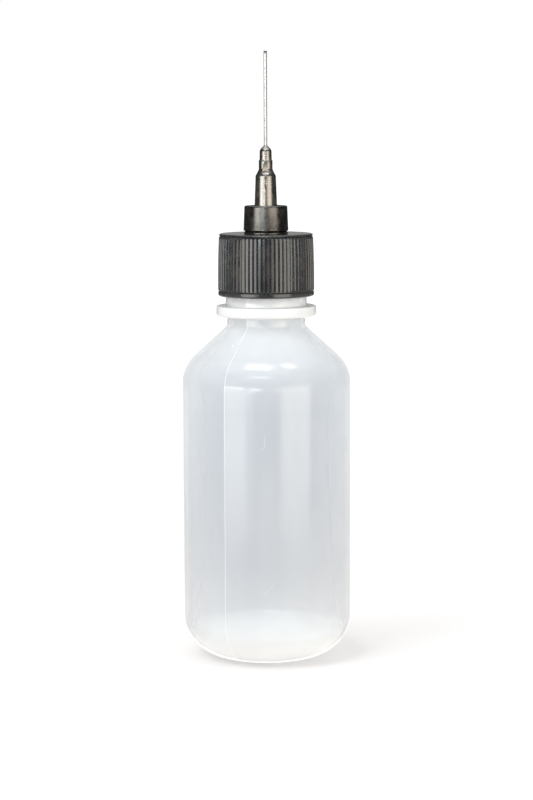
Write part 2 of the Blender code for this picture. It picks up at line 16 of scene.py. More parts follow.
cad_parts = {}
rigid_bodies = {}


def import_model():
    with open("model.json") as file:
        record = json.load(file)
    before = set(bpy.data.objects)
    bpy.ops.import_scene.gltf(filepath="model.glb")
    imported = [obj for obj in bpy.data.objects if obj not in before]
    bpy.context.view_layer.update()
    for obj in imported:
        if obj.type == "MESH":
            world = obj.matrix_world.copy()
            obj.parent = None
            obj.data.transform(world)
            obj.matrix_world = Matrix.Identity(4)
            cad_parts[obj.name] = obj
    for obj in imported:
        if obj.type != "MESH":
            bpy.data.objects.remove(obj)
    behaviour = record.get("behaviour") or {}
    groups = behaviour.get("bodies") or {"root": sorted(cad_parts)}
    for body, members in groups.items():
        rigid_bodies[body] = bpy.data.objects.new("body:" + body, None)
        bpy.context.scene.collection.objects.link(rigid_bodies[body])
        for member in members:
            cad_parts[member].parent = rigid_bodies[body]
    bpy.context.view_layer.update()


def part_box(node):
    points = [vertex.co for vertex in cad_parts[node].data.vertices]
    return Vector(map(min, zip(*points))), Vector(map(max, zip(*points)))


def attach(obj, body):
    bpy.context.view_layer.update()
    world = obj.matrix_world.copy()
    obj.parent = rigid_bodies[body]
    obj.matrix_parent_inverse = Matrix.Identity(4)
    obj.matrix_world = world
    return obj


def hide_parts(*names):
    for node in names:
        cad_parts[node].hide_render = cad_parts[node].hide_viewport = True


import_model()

MM = 0.001
TAU = 2 * math.pi

# %% [markdown]
# ## Camera
# A bottle in a catalogue is usually shown through a long lens from a little above its middle, so
# that its sides stay nearly upright. The camera looks along +Y and tips down by a few degrees,
# which shows the top of the cap and the curve of the base. A short lens close by would fit the
# bottle in as well, but it would swell its middle.

# %% Camera
CAMERA_DISTANCE = 637 * MM
CAMERA_HEIGHT = 151.9 * MM
CAMERA_SIDE = 0.28 * MM
CAMERA_TILT = math.radians(7.05)
CAMERA_ROLL = math.radians(0.22)  # the view leans by this much
LENS_MM = 101.6

camera_data = bpy.data.cameras.new("product_camera")
camera_data.lens = LENS_MM
camera_data.sensor_width = 36
camera_data.clip_start = 0.05
camera = bpy.data.objects.new("product_camera", camera_data)
camera.location = (CAMERA_SIDE, -CAMERA_DISTANCE, CAMERA_HEIGHT)
camera.rotation_euler = (math.pi / 2 - CAMERA_TILT, CAMERA_ROLL, 0)
bpy.context.scene.collection.objects.link(camera)
bpy.context.scene.camera = camera
bpy.context.scene.view_settings.view_transform = "Standard"
print(f"camera {CAMERA_DISTANCE} m away, {LENS_MM} mm lens")

# %% [markdown]
# ## Turned pieces
# Nearly every piece here is round. Each one could be a profile with a Screw modifier. A short
# helper is used instead, because it can also move each point in or out as it goes round. That is
# how a thread, a moulding line or a ring of small steps is cut into the same closed surface, with
# no Boolean and no loose shells. The outline runs down the outer side, so faces point outwards.

# %% Helpers for outlines and turned pieces
SHARP = math.radians(35)


def arc(centre_r, centre_z, radius, start, end, steps):
    """Points (r, z) of an arc. Angles are in degrees from +r towards +z."""
    angles = [math.radians(start + (end - start) * i / steps) for i in range(steps + 1)]
    return [(centre_r + radius * math.cos(a), centre_z + radius * math.sin(a)) for a in angles]


def straight(start, end, steps):
    """Points along a straight stretch, without its end."""
    return [
        tuple(a + (b - a) * i / steps for a, b in zip(start, end, strict=True))
        for i in range(steps)
    ]


def even_angles(steps):
    return [TAU * i / steps for i in range(steps)]


def turned(name, outline, angles, closed=False, reshape=None):
    """Turns an outline of (r, z) points round Z. It runs down the piece's outer side. An open
    outline starts and ends on the axis. reshape(r, angle, z) may give a new radius."""
    shape = bmesh.new()
    rings = []
    for r, z in outline:
        if r < 1e-9:
            rings.append([shape.verts.new((0, 0, z))])
            continue
        ring = []
        for angle in angles:
            radius = reshape(r, angle, z) if reshape else r
            point = (radius * math.cos(angle), radius * math.sin(angle), z)
            ring.append(shape.verts.new(point))
        rings.append(ring)
    pairs = list(zip(rings, rings[1:]))
    if closed:
        pairs.append((rings[-1], rings[0]))
    count = len(angles)
    for upper, lower in pairs:
        for j in range(count):
            k = (j + 1) % count
            if len(upper) == 1:
                shape.faces.new((upper[0], lower[j], lower[k]))
            elif len(lower) == 1:
                shape.faces.new((upper[j], lower[0], upper[k]))
            else:
                shape.faces.new((upper[j], lower[j], lower[k], upper[k]))
    return finished(name, shape)


def finished(name, shape):
    """Makes an object of a bmesh, shaded smooth apart from its sharp edges."""
    mesh = bpy.data.meshes.new(name)
    shape.to_mesh(mesh)
    shape.free()
    mesh.shade_smooth()
    mesh.set_sharp_from_angle(angle=SHARP)
    obj = bpy.data.objects.new(name, mesh)
    bpy.context.scene.collection.objects.link(obj)
    return obj


def applied(obj):
    """Turns what the modifiers make of an object into its plain mesh."""
    bpy.context.view_layer.update()
    evaluated = obj.evaluated_get(bpy.context.evaluated_depsgraph_get())
    mesh = bpy.data.meshes.new_from_object(evaluated)
    obj.modifiers.clear()
    obj.data = mesh
    mesh.shade_smooth()
    mesh.set_sharp_from_angle(angle=SHARP)
    return obj


def smooth_step(x):
    """0 up to x = 0 and 1 from x = 1, with a soft S between."""
    x = min(1.0, max(0.0, x))
    return x * x * (3 - 2 * x)


def thread_ridge(angle, z, start_z, start_angle, lead, turns, half_width):
    """How far up a thread's ridge a point is, from 0 on the plain wall to 1 on its crest. The
    ridge climbs as a right-hand thread does and fades out at its ends."""
    fade = 0.08
    travel = ((angle - start_angle) % TAU) / TAU
    best = 0.0
    while travel < turns:
        away = abs(z - start_z - lead * travel)
        ridge = smooth_step(1.45 * (1 - away / half_width))
        ends = smooth_step(min(travel, turns - travel) / fade)
        best = max(best, ridge * ends)
        travel += 1
    return best


def dress(piece, body, node, surface):
    """Puts a piece in a node's place: its body, the node that it stands for and its material."""
    piece.data.materials.clear()
    piece.data.materials.append(surface)
    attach(piece, body)
    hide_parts(node)
    triangles = sum(len(p.vertices) - 2 for p in piece.data.polygons)
    print(f"{piece.name}: {triangles} triangles on {body}")


print("sharp edges start at", round(math.degrees(SHARP)), "degrees")

# %% [markdown]
# ## Shared surface effects
# Real surfaces are never one flat value. Three small node groups hold the effects that several
# finishes share: fine grain, turning lines left by a lathe, and the specks and hair scratches of
# handling. Each gives out only a value, and each material places it with its own settings. Image
# textures could do the same, but they would have to be unwrapped and stored.

# %% Node helpers
def new_group(name, inputs, outputs):
    """An empty shader node group with named number inputs and outputs."""
    group = bpy.data.node_groups.new(name, "ShaderNodeTree")
    for label, value in inputs.items():
        socket = group.interface.new_socket(label, in_out="INPUT", socket_type="NodeSocketFloat")
        socket.default_value = value
    for label in outputs:
        group.interface.new_socket(label, in_out="OUTPUT", socket_type="NodeSocketFloat")
    return group


def add(tree, kind, **settings):
    """Adds a node and sets its properties."""
    node = tree.nodes.new(kind)
    for key, value in settings.items():
        setattr(node, key, value)
    return node


def feed(tree, socket, value):
    """Gives a node's input a link, a colour of three numbers or one number."""
    if isinstance(value, bpy.types.NodeSocket):
        tree.links.new(value, socket)
    elif isinstance(value, tuple):
        socket.default_value = (*value, 1)
    else:
        socket.default_value = value


def math_node(tree, operation, *values):
    node = add(tree, "ShaderNodeMath", operation=operation)
    for socket, value in zip(node.inputs, values):
        feed(tree, socket, value)
    return node.outputs[0]


def ranged(tree, value, low, high, new_low, new_high, curve="SMOOTHSTEP"):
    """A value carried from one range to another, and held at its ends."""
    node = add(tree, "ShaderNodeMapRange", interpolation_type=curve)
    given = zip(("Value", "From Min", "From Max", "To Min", "To Max"),
                (value, low, high, new_low, new_high))
    for label, number in given:
        feed(tree, node.inputs[label], number)
    return node.outputs["Result"]


def mixed(tree, factor, first, second):
    """Mixes two colours by a factor. Any of the three may be a link or plain numbers."""
    node = add(tree, "ShaderNodeMix", data_type="RGBA")
    for label, value in (("Factor", factor), ("A", first), ("B", second)):
        feed(tree, next(i for i in node.inputs if i.name == label and i.enabled), value)
    return next(o for o in node.outputs if o.enabled)


def ramp(tree, value, stops):
    """A Color Ramp read by a value from 0 to 1. Each stop is a place and a grey."""
    node = add(tree, "ShaderNodeValToRGB")
    points = node.color_ramp.elements
    points.remove(points[1])
    for index, (place, grey) in enumerate(stops):
        point = points[0] if index == 0 else points.new(place)
        point.position = place
        point.color = (grey, grey, grey, 1)
    feed(tree, node.inputs["Fac"], value)
    return node.outputs["Color"]


def mapped(tree, scale=(1, 1, 1)):
    """Object coordinates, stretched by a scale for each axis."""
    place = add(tree, "ShaderNodeTexCoord")
    mapping = add(tree, "ShaderNodeMapping")
    mapping.inputs["Scale"].default_value = scale
    feed(tree, mapping.inputs["Vector"], place.outputs["Object"])
    return mapping.outputs["Vector"]


def noise(tree, vector, scale, detail=3.0, rough=0.5):
    node = add(tree, "ShaderNodeTexNoise")
    for label, value in (("Vector", vector), ("Scale", scale), ("Detail", detail),
                         ("Roughness", rough)):
        feed(tree, node.inputs[label], value)
    return node.outputs["Fac"]


print("node helpers ready")

# %% Grain, turning lines and handling marks
def make_grain():
    """Fine moulded or plated grain. Size is in grains per metre."""
    group = new_group("fine_grain", {"Size": 3000.0}, ("Height",))
    source, out = add(group, "NodeGroupInput"), add(group, "NodeGroupOutput")
    fine = noise(group, mapped(group), source.outputs["Size"], 2.0)
    feed(group, out.inputs["Height"], fine)
    return group


def make_turning_lines():
    """Rings round Z: noise that changes quickly along Z and slowly round it."""
    group = new_group("turning_lines", {"Lines": 9000.0}, ("Height",))
    source, out = add(group, "NodeGroupInput"), add(group, "NodeGroupOutput")
    rings = noise(group, mapped(group, (0.02, 0.02, 1)), source.outputs["Lines"], 2.0)
    feed(group, out.inputs["Height"], rings)
    return group


def make_handling_marks():
    """A mask of pin-prick specks and hair scratches, 0 on clean surface."""
    group = new_group("handling_marks", {"Speck Density": 170.0, "Scratches": 0.5}, ("Mask",))
    source, out = add(group, "NodeGroupInput"), add(group, "NodeGroupOutput")
    vector = mapped(group)
    cells = add(group, "ShaderNodeTexVoronoi", feature="F1")
    feed(group, cells.inputs["Vector"], vector)
    feed(group, cells.inputs["Scale"], source.outputs["Speck Density"])
    specks = ranged(group, cells.outputs["Distance"], 0.02, 0.07, 1, 0)
    chosen = math_node(group, "GREATER_THAN", cells.outputs["Color"], 0.78)
    bend = math_node(group, "SUBTRACT", noise(group, vector, 45, 2.0), 0.5)
    hair = ranged(group, math_node(group, "ABSOLUTE", bend), 0.0003, 0.0016, 1, 0)
    where = ranged(group, noise(group, vector, 70, 1.0), 0.58, 0.66, 0, 1)
    scratch = math_node(group, "MULTIPLY", math_node(group, "MULTIPLY", hair, where),
                        source.outputs["Scratches"])
    both = math_node(group, "MAXIMUM", math_node(group, "MULTIPLY", specks, chosen), scratch)
    feed(group, out.inputs["Mask"], both)
    return group


GRAIN = make_grain()
TURNING_LINES = make_turning_lines()
HANDLING_MARKS = make_handling_marks()


def placed(tree, group, output, **values):
    """Places a shared group in a material and returns one of its outputs."""
    node = add(tree, "ShaderNodeGroup", node_tree=group)
    for label, value in values.items():
        feed(tree, node.inputs[label.replace("_", " ")], value)
    return node.outputs[output]


def principled(name, colour, roughness, metallic=0.0):
    surface = bpy.data.materials.new(name)
    surface.use_nodes = True
    shader = surface.node_tree.nodes["Principled BSDF"]
    shader.inputs["Base Color"].default_value = (*colour, 1)
    shader.inputs["Roughness"].default_value = roughness
    shader.inputs["Metallic"].default_value = metallic
    return surface, surface.node_tree, shader


def bump(tree, shader, height, strength, distance):
    node = add(tree, "ShaderNodeBump")
    for label, value in (("Strength", strength), ("Distance", distance), ("Height", height)):
        feed(tree, node.inputs[label], value)
    feed(tree, shader.inputs["Normal"], node.outputs["Normal"])


print("groups:", GRAIN.name, TURNING_LINES.name, HANDLING_MARKS.name)

# %% [markdown]
# ## Metal finishes
# Three metals show: bright nickel plate on the hub, a smoked black nickel on the collar, and the
# drawn stainless steel of the needle. All are fully metallic. What tells them apart is the
# darkness of the plate and how much its roughness wanders, so both come from noise.

# %% Metal finishes
def metal(name, dark, light, roughness, lines, grain, relief):
    """A turned metal: colour and roughness wander, lathe rings and grain give the relief."""
    surface, tree, shader = principled(name, light, roughness, 1.0)
    cloud = noise(tree, mapped(tree), 420, 4.0, 0.6)
    colour = mixed(tree, ranged(tree, cloud, 0.3, 0.7, 0, 1), dark, light)
    feed(tree, shader.inputs["Base Color"], colour)
    marks = placed(tree, HANDLING_MARKS, "Mask", Speck_Density=900.0, Scratches=0.6)
    wander = ranged(tree, cloud, 0.25, 0.75, roughness * 0.8, roughness * 1.3)
    rough = math_node(tree, "ADD", wander, math_node(tree, "MULTIPLY", marks, 0.15))
    feed(tree, shader.inputs["Roughness"], rough)
    rings = placed(tree, TURNING_LINES, "Height", Lines=lines)
    grains = placed(tree, GRAIN, "Height", Size=grain)
    height = math_node(tree, "ADD", rings, math_node(tree, "MULTIPLY", grains, 0.6))
    bump(tree, shader, height, relief, 0.01 * MM)
    return surface


BRIGHT_NICKEL = metal(
    "bright_nickel", (0.4, 0.38, 0.34), (0.53, 0.5, 0.455), 0.27, 7000.0, 14000.0, 0.35
)
SMOKED_NICKEL = metal(
    "smoked_nickel", (0.16, 0.15, 0.14), (0.27, 0.26, 0.24), 0.26, 5000.0, 9000.0, 0.6
)
NEEDLE_STEEL = metal(
    "drawn_stainless_steel", (0.6, 0.6, 0.6), (0.8, 0.79, 0.77), 0.18, 9000.0, 20000.0, 0.2
)
SOLDER = metal("solder", (0.5, 0.5, 0.5), (0.66, 0.66, 0.66), 0.3, 4000.0, 8000.0, 0.5)
print("metals made")

# %% [markdown]
# ## Plastics, foam and rubber
# The bottle is blow-moulded polyethylene about a millimetre thick. Light passes through it and
# scatters, so it looks milky and the far wall only just shows. A volume would do that at the
# price of a long, noisy render. Here each wall is partly see-through, and a little more so near
# the bottle's outline, which lets the bright background through and keeps the sides pale. Thick
# places are nearly opaque, as the base is, or opaque, as the carrying ring is.
#
# The cap is hard black plastic that fingers have polished a little, the liner is white foam, and
# the O-ring is black rubber. These let no light through, so noise in their colour, roughness and
# bump is enough.

# %% Milky polyethylene
RING_BOTTOM = 97.2 * MM
RING_TOP = 100.1 * MM
PARTING_ANGLE = math.radians(241)  # the half of the moulding line nearest the front
BASE_EDGE_LOW, BASE_EDGE_HIGH = 7.4 * MM, 8.3 * MM  # where the base's thick plastic thins out
RAMP_HEIGHT = 120 * MM  # the height that a place of 1 on the ramps below stands for
OUTSIDE = "outer_side"


def parting_line(tree, x, y):
    """1 on the thin line where the halves of the mould met, 0 away from it."""
    across = math_node(
        tree, "SUBTRACT", math_node(tree, "MULTIPLY", y, math.cos(PARTING_ANGLE)),
        math_node(tree, "MULTIPLY", x, math.sin(PARTING_ANGLE)),
    )
    return ranged(tree, math_node(tree, "ABSOLUTE", across), 0.1 * MM, 0.26 * MM, 1, 0)


def make_milky():
    surface, tree, shader = principled("milky_polyethylene", (0.86, 0.88, 0.9), 0.16)
    shader.inputs["IOR"].default_value = 1.51
    shader.inputs["Specular IOR Level"].default_value = 1.0
    shader.inputs["Coat Weight"].default_value = 0.8
    shader.inputs["Coat Roughness"].default_value = 0.12
    outside = add(tree, "ShaderNodeAttribute", attribute_name=OUTSIDE).outputs["Fac"]
    split = add(tree, "ShaderNodeSeparateXYZ")
    feed(tree, split.inputs["Vector"], mapped(tree))
    x, y, z = split.outputs
    rise = ranged(tree, z, 0, RAMP_HEIGHT, 0, 1, curve="LINEAR")
    cloud = noise(tree, mapped(tree, (1, 1, 0.45)), 38, 3.0)
    cloudy = ranged(tree, cloud, 0.35, 0.65, 0, 1)
    thin_wall = mixed(tree, cloudy, (0.404, 0.432, 0.464), (0.454, 0.472, 0.496))
    # whiter near the base, over the shoulder and at the neck: partly the thicker plastic there, and
    # partly painted light, for the paper's light coming up through the base, the light from above on
    # the shoulder, and a painted brightening of the neck where the cap and the ring shade it
    white = ramp(tree, rise, ((0.0, 1.0), (0.035, 0.85), (0.07, 0.62), (0.1, 0.42), (0.13, 0.25),
                              (0.17, 0.14), (0.25, 0.06), (0.4, 0.02), (0.6, 0.0), (0.66, 0.1),
                              (0.7, 0.22), (0.82, 0.38), (0.84, 0.78), (0.86, 0.78), (0.9, 0.35)))
    # the base inside is thick plastic, whose far edge shows through the front wall as an arch; its
    # whiteness is also painted light, standing in for the paper's light coming up through the base
    base = math_node(tree, "MULTIPLY", ranged(tree, z, BASE_EDGE_LOW, BASE_EDGE_HIGH, 1, 0),
                     math_node(tree, "SUBTRACT", 1, outside))
    white = math_node(tree, "MAXIMUM", white, base)
    body = mixed(tree, white, thin_wall, (0.985, 0.975, 0.95))
    ring = math_node(
        tree, "MULTIPLY",
        ranged(tree, z, RING_BOTTOM - 0.8 * MM, RING_BOTTOM, 0, 1),
        ranged(tree, z, RING_TOP, RING_TOP + 0.3 * MM, 1, 0),
    )
    body = mixed(tree, ring, body, (0.72, 0.715, 0.69))
    marks = placed(tree, HANDLING_MARKS, "Mask", Speck_Density=240.0, Scratches=0.45)
    line = math_node(tree, "MULTIPLY", parting_line(tree, x, y), outside)
    bright = math_node(tree, "MAXIMUM", marks, math_node(tree, "MULTIPLY", line, 0.35))
    feed(tree, shader.inputs["Base Color"], mixed(tree, bright, body, (0.96, 0.96, 0.95)))
    facing = add(tree, "ShaderNodeLayerWeight")
    facing.inputs["Blend"].default_value = 0.35
    wall = ranged(tree, facing.outputs["Facing"], 0.02, 0.55, 0.58, 0.36)
    wall = ranged(tree, outside, 0, 1, 0.1, wall, curve="LINEAR")
    thick = ramp(tree, rise, ((0.0, 0.4), (0.04, 0.2), (0.1, 0.0), (0.65, 0.0), (0.8, 0.12),
                              (0.86, 0.35)))
    thick = math_node(tree, "MAXIMUM", thick, math_node(tree, "MULTIPLY", base, 0.75))
    solid = math_node(tree, "MAXIMUM", math_node(tree, "ADD", wall, thick),
                      math_node(tree, "MAXIMUM", math_node(tree, "MULTIPLY", bright, 0.94), ring))
    # light that goes on past the bottle is dimmed less than the view through it
    path = add(tree, "ShaderNodeLightPath")
    seen = math_node(tree, "MAXIMUM", path.outputs["Is Camera Ray"], path.outputs["Is Glossy Ray"])
    passing = ramp(tree, rise, ((0.0, 0.15), (0.03, 0.35), (0.06, 1.0), (0.2, 1.0), (0.3, 0.5)))
    passed = ranged(tree, seen, 0, 1, passing, 1, curve="LINEAR")
    solid = math_node(tree, "MULTIPLY", math_node(tree, "MINIMUM", solid, 1.0), passed)
    feed(tree, shader.inputs["Alpha"], solid)
    rough = ranged(tree, cloud, 0.3, 0.7, 0.13, 0.22)
    feed(tree, shader.inputs["Roughness"], ranged(tree, ring, 0, 1, rough, 0.4))
    waves = noise(tree, mapped(tree, (1, 1, 0.3)), 60, 2.0)
    grains = placed(tree, GRAIN, "Height", Size=2600.0)
    relief = math_node(tree, "ADD", math_node(tree, "MULTIPLY", waves, 8.0), grains)
    bump(tree, shader, relief, 0.25, 0.02 * MM)
    return surface


MILKY = make_milky()
print("made", MILKY.name)

# %% Black plastic, foam and rubber
def make_black_plastic():
    """Moulded polypropylene, with the soft shine that handling leaves and a few pale nicks."""
    surface, tree, shader = principled("black_plastic", (0.018, 0.018, 0.02), 0.3)
    shader.inputs["Specular IOR Level"].default_value = 1.0
    shader.inputs["Coat Weight"].default_value = 0.6
    shader.inputs["Coat Roughness"].default_value = 0.12
    cloud = noise(tree, mapped(tree), 260, 4.0)
    marks = placed(tree, HANDLING_MARKS, "Mask", Speck_Density=420.0, Scratches=0.2)
    base = mixed(tree, ranged(tree, cloud, 0.3, 0.7, 0, 1), (0.012, 0.012, 0.014),
                 (0.03, 0.029, 0.027))
    feed(tree, shader.inputs["Base Color"], mixed(tree, marks, base, (0.45, 0.42, 0.38)))
    feed(tree, shader.inputs["Roughness"], ranged(tree, cloud, 0.25, 0.75, 0.17, 0.32))
    bump(tree, shader, placed(tree, GRAIN, "Height", Size=5200.0), 0.35, 0.012 * MM)
    return surface


def make_soft(name, dark, light, roughness, size):
    """Foam or rubber: matt, with a cellular grain."""
    surface, tree, shader = principled(name, light, roughness)
    cells = placed(tree, GRAIN, "Height", Size=size)
    feed(tree, shader.inputs["Base Color"], mixed(tree, cells, dark, light))
    feed(tree, shader.inputs["Roughness"],
         ranged(tree, cells, 0.3, 0.7, roughness - 0.1, roughness))
    bump(tree, shader, cells, 0.6, 0.05 * MM)
    return surface


BLACK_PLASTIC = make_black_plastic()
WHITE_FOAM = make_soft("white_foam", (0.74, 0.74, 0.71), (0.9, 0.9, 0.88), 0.85, 4200.0)
BLACK_RUBBER = make_soft("black_rubber", (0.015, 0.015, 0.015), (0.04, 0.04, 0.04), 0.7, 7000.0)
print("plastics, foam and rubber made")

# %% [markdown]
# ## The bottle
# A tube of soft plastic is blown out against a mould in two halves. That leaves the thin raised
# line down both sides where the halves met, and a pinched seam across the base, which is out of
# sight and is left out here. The whole bottle is one turned surface, outside and inside. Extra
# columns of points beside the moulding line give it its own small ridge.

# %% Bottle sizes
bottle_low, bottle_high = (Vector(corner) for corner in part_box("bottle"))
BODY_R = bottle_high.x
RIM_Z = bottle_high.z
CORNER_R = 12.0 * MM
CORNER_CENTRE_R = BODY_R - CORNER_R
WALL = 1.1 * MM
SHOULDER_Z = 77.4 * MM
SLOPE = math.radians(42)
NECK_R, NECK_FOOT_R, FINISH_R = 11.0 * MM, 11.45 * MM, 11.2 * MM
NECK_BORE_R = 9.3 * MM
NECK_FOOT_TOP = 103.6 * MM
RING_R = 14.05 * MM
PUSH_UP = 1.4 * MM
STANDING_RING = 1.8 * MM
THREAD_PITCH = 3.175 * MM
NECK_THREAD_Z = 111.0 * MM
THREAD_TURNS = 1.5
THREAD_HALF_WIDTH = 0.85 * MM
NECK_THREAD_HEIGHT = 0.65 * MM
PARTING_LINES = (PARTING_ANGLE, (PARTING_ANGLE + math.pi) % TAU)
PARTING_HEIGHT, PARTING_WIDTH = 0.07 * MM, 0.16 * MM
PARTING_FOOT = 1 * MM  # the moulding line ends at this height
print(f"bottle {2 * BODY_R / MM:.1f} mm across, rim at {RIM_Z / MM:.1f} mm")

# %% Bottle outline
def shoulder_end(radius):
    """Where the shoulder's round meets its cone."""
    return CORNER_CENTRE_R + radius * math.sin(SLOPE), SHOULDER_Z + radius * math.cos(SLOPE)


def bottle_outside():
    """From the rim down over the neck, the carrying ring, the shoulder and the wall."""
    tangent_r, tangent_z = shoulder_end(CORNER_R)
    fillet = 1.5 * MM
    fillet_r = NECK_R + fillet
    fillet_z = tangent_z + (fillet + (tangent_r - fillet_r) * math.sin(SLOPE)) / math.cos(SLOPE)
    slope = math.degrees(SLOPE)
    points = arc(FINISH_R - 0.4 * MM, RIM_Z - 0.4 * MM, 0.4 * MM, 90, 0, 4)
    points += straight((FINISH_R, RIM_Z - 0.6 * MM), (FINISH_R, NECK_FOOT_TOP + 0.4 * MM), 64)
    points += [(FINISH_R, NECK_FOOT_TOP + 0.4 * MM), (NECK_FOOT_R, NECK_FOOT_TOP)]
    points += arc(NECK_FOOT_R + 0.35 * MM, RING_TOP + 0.35 * MM, 0.35 * MM, 180, 270, 4)
    points += arc(RING_R - 0.35 * MM, RING_TOP - 0.35 * MM, 0.35 * MM, 90, 0, 5)
    points += arc(RING_R - 0.7 * MM, RING_BOTTOM + 0.7 * MM, 0.7 * MM, 0, -90, 7)
    points += arc(NECK_R + 0.3 * MM, RING_BOTTOM - 0.3 * MM, 0.3 * MM, 90, 180, 4)
    points += arc(fillet_r, fillet_z, fillet, 180, 270 - slope, 8)
    points += arc(CORNER_CENTRE_R, SHOULDER_Z, CORNER_R, 90 - slope, 0, 20)
    points += straight((BODY_R, SHOULDER_Z - 3 * MM), (BODY_R, CORNER_R), 20)
    points += arc(CORNER_CENTRE_R, CORNER_R, CORNER_R, 0, -90, 26)
    return points + base_outline()


def base_outline():
    """The underside, from the standing ring in to the middle, with the mould's two faint steps."""
    edge = CORNER_CENTRE_R - STANDING_RING
    points = [(edge, 0)]
    for k in (0.97, 0.93, 0.88, 0.8, 0.7, 0.66, 0.6, 0.48, 0.42, 0.36, 0.24, 0.12):
        step = 0.12 * MM * (smooth_step((0.69 - k) / 0.04) - smooth_step((0.45 - k) / 0.04))
        points.append((edge * k, PUSH_UP * (1 - k * k) - step))
    return points + [(0, PUSH_UP)]


def bottle_inside():
    """From the middle of the floor up the inner side to the rim."""
    corner, inner = CORNER_CENTRE_R, CORNER_R - WALL
    end_r, end_z = shoulder_end(inner)
    floor = PUSH_UP + WALL
    points = [(0, floor)]
    points += [(corner * k, floor - PUSH_UP * k * k) for k in (0.2, 0.4, 0.6, 0.8, 0.93)]
    points += arc(corner, CORNER_R, inner, -90, 0, 20)
    points += straight((corner + inner, CORNER_R + 3 * MM), (corner + inner, SHOULDER_Z), 14)
    points += arc(corner, SHOULDER_Z, inner, 0, 90 - math.degrees(SLOPE), 16)
    points.append((NECK_BORE_R, end_z + (end_r - NECK_BORE_R) * math.tan(SLOPE)))
    points += straight((NECK_BORE_R, RING_BOTTOM), (NECK_BORE_R, RIM_Z - 0.3 * MM), 6)
    return points + arc(NECK_BORE_R + 0.3 * MM, RIM_Z - 0.3 * MM, 0.3 * MM, 180, 90, 3)


OUTER_SIDE = set(bottle_outside())
bottle_outline = bottle_inside() + bottle_outside()
print(f"bottle outline: {len(bottle_outline)} points, {len(OUTER_SIDE)} on the outer side")


# %% Bottle
def off_parting_line(angle):
    """The angle between a column and the nearer of the two moulding lines."""
    return min(abs((angle - line + math.pi) % TAU - math.pi) for line in PARTING_LINES)


def bottle_angles():
    """Even columns, with a close group at each side of the mould for its raised line."""
    near = [PARTING_WIDTH / BODY_R * k for k in (-2.2, -1.2, -0.6, 0, 0.6, 1.2, 2.2)]
    gap = near[-1] + 0.004
    even = [a for a in even_angles(256) if off_parting_line(a) > gap]
    return sorted(even + [(line + n) % TAU for line in PARTING_LINES for n in near])


def bottle_surface(r, angle, z):
    """Adds the neck's thread and the moulding line to the outer side."""
    if (r, z) not in OUTER_SIDE or z < PARTING_FOOT:
        return r
    if z > NECK_FOOT_TOP + 1 * MM:
        ridge = thread_ridge(
            angle, z, NECK_THREAD_Z, math.pi, THREAD_PITCH, THREAD_TURNS, THREAD_HALF_WIDTH
        )
        return r + NECK_THREAD_HEIGHT * ridge
    return r + PARTING_HEIGHT * smooth_step(1 - off_parting_line(angle) * r / (2 * PARTING_WIDTH))


def mark_outer_side(piece, outline, columns):
    """Writes 1 on the points of the outer side and 0 on the inner ones, for the material."""
    values = []
    for r, z in outline:
        values += [float((r, z) in OUTER_SIDE)] * (columns if r > 1e-9 else 1)
    piece.data.attributes.new(OUTSIDE, "FLOAT", "POINT").data.foreach_set("value", values)


bottle_columns = bottle_angles()
bottle = turned("squeeze_bottle", bottle_outline, bottle_columns, reshape=bottle_surface)
mark_outer_side(bottle, bottle_outline, len(bottle_columns))
dress(bottle, "bottle", "bottle", MILKY)

# %% [markdown]
# ## The cap's grip
# The cap's wall is ribbed so that fingers don't slip. Some seventy ribs could be seventy small
# bars, but they would have to be joined to the wall. Geometry Nodes move the wall itself instead:
# each point goes outwards by a rounded wave of its angle round the cap, and the wave fades out
# near the top and the bottom of the grip. One number then changes the whole grip.

# %% Cap sizes and outline
cap_low, cap_high = (Vector(corner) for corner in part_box("screw_cap"))
CAP_BOTTOM, CAP_TOP = cap_low.z, cap_high.z
CAP_CEILING = 119.0 * MM
CAP_BORE_R = 12.15 * MM
CAP_TOP_R, CAP_BAND_R = 13.22 * MM, 13.52 * MM
SHANK_HOLE_R = 2.75 * MM
RIB_COUNT = 70
RIB_DEPTH = 0.34 * MM
CAP_ROUND = 0.5 * MM
GRIP_BOTTOM, GRIP_TOP = 104.35 * MM, CAP_TOP - 0.8 * MM
GROOVE_SINK = 0.02 * MM + 0.8 * RIB_DEPTH  # how far the grooves lie inside the cap's band
GRIP_TAPER = 0.3 * MM
CAP_THREAD_DROP, CAP_THREAD_HEIGHT = 1.15 * MM, 0.7 * MM


def cap_wall(z):
    """The cap's outer radius at the bottom of the ribs. It narrows a little towards the top."""
    rise = (z - GRIP_BOTTOM) / (GRIP_TOP - GRIP_BOTTOM)
    return CAP_BAND_R - GROOVE_SINK - GRIP_TAPER * smooth_step(rise * 0.5) * rise * 2


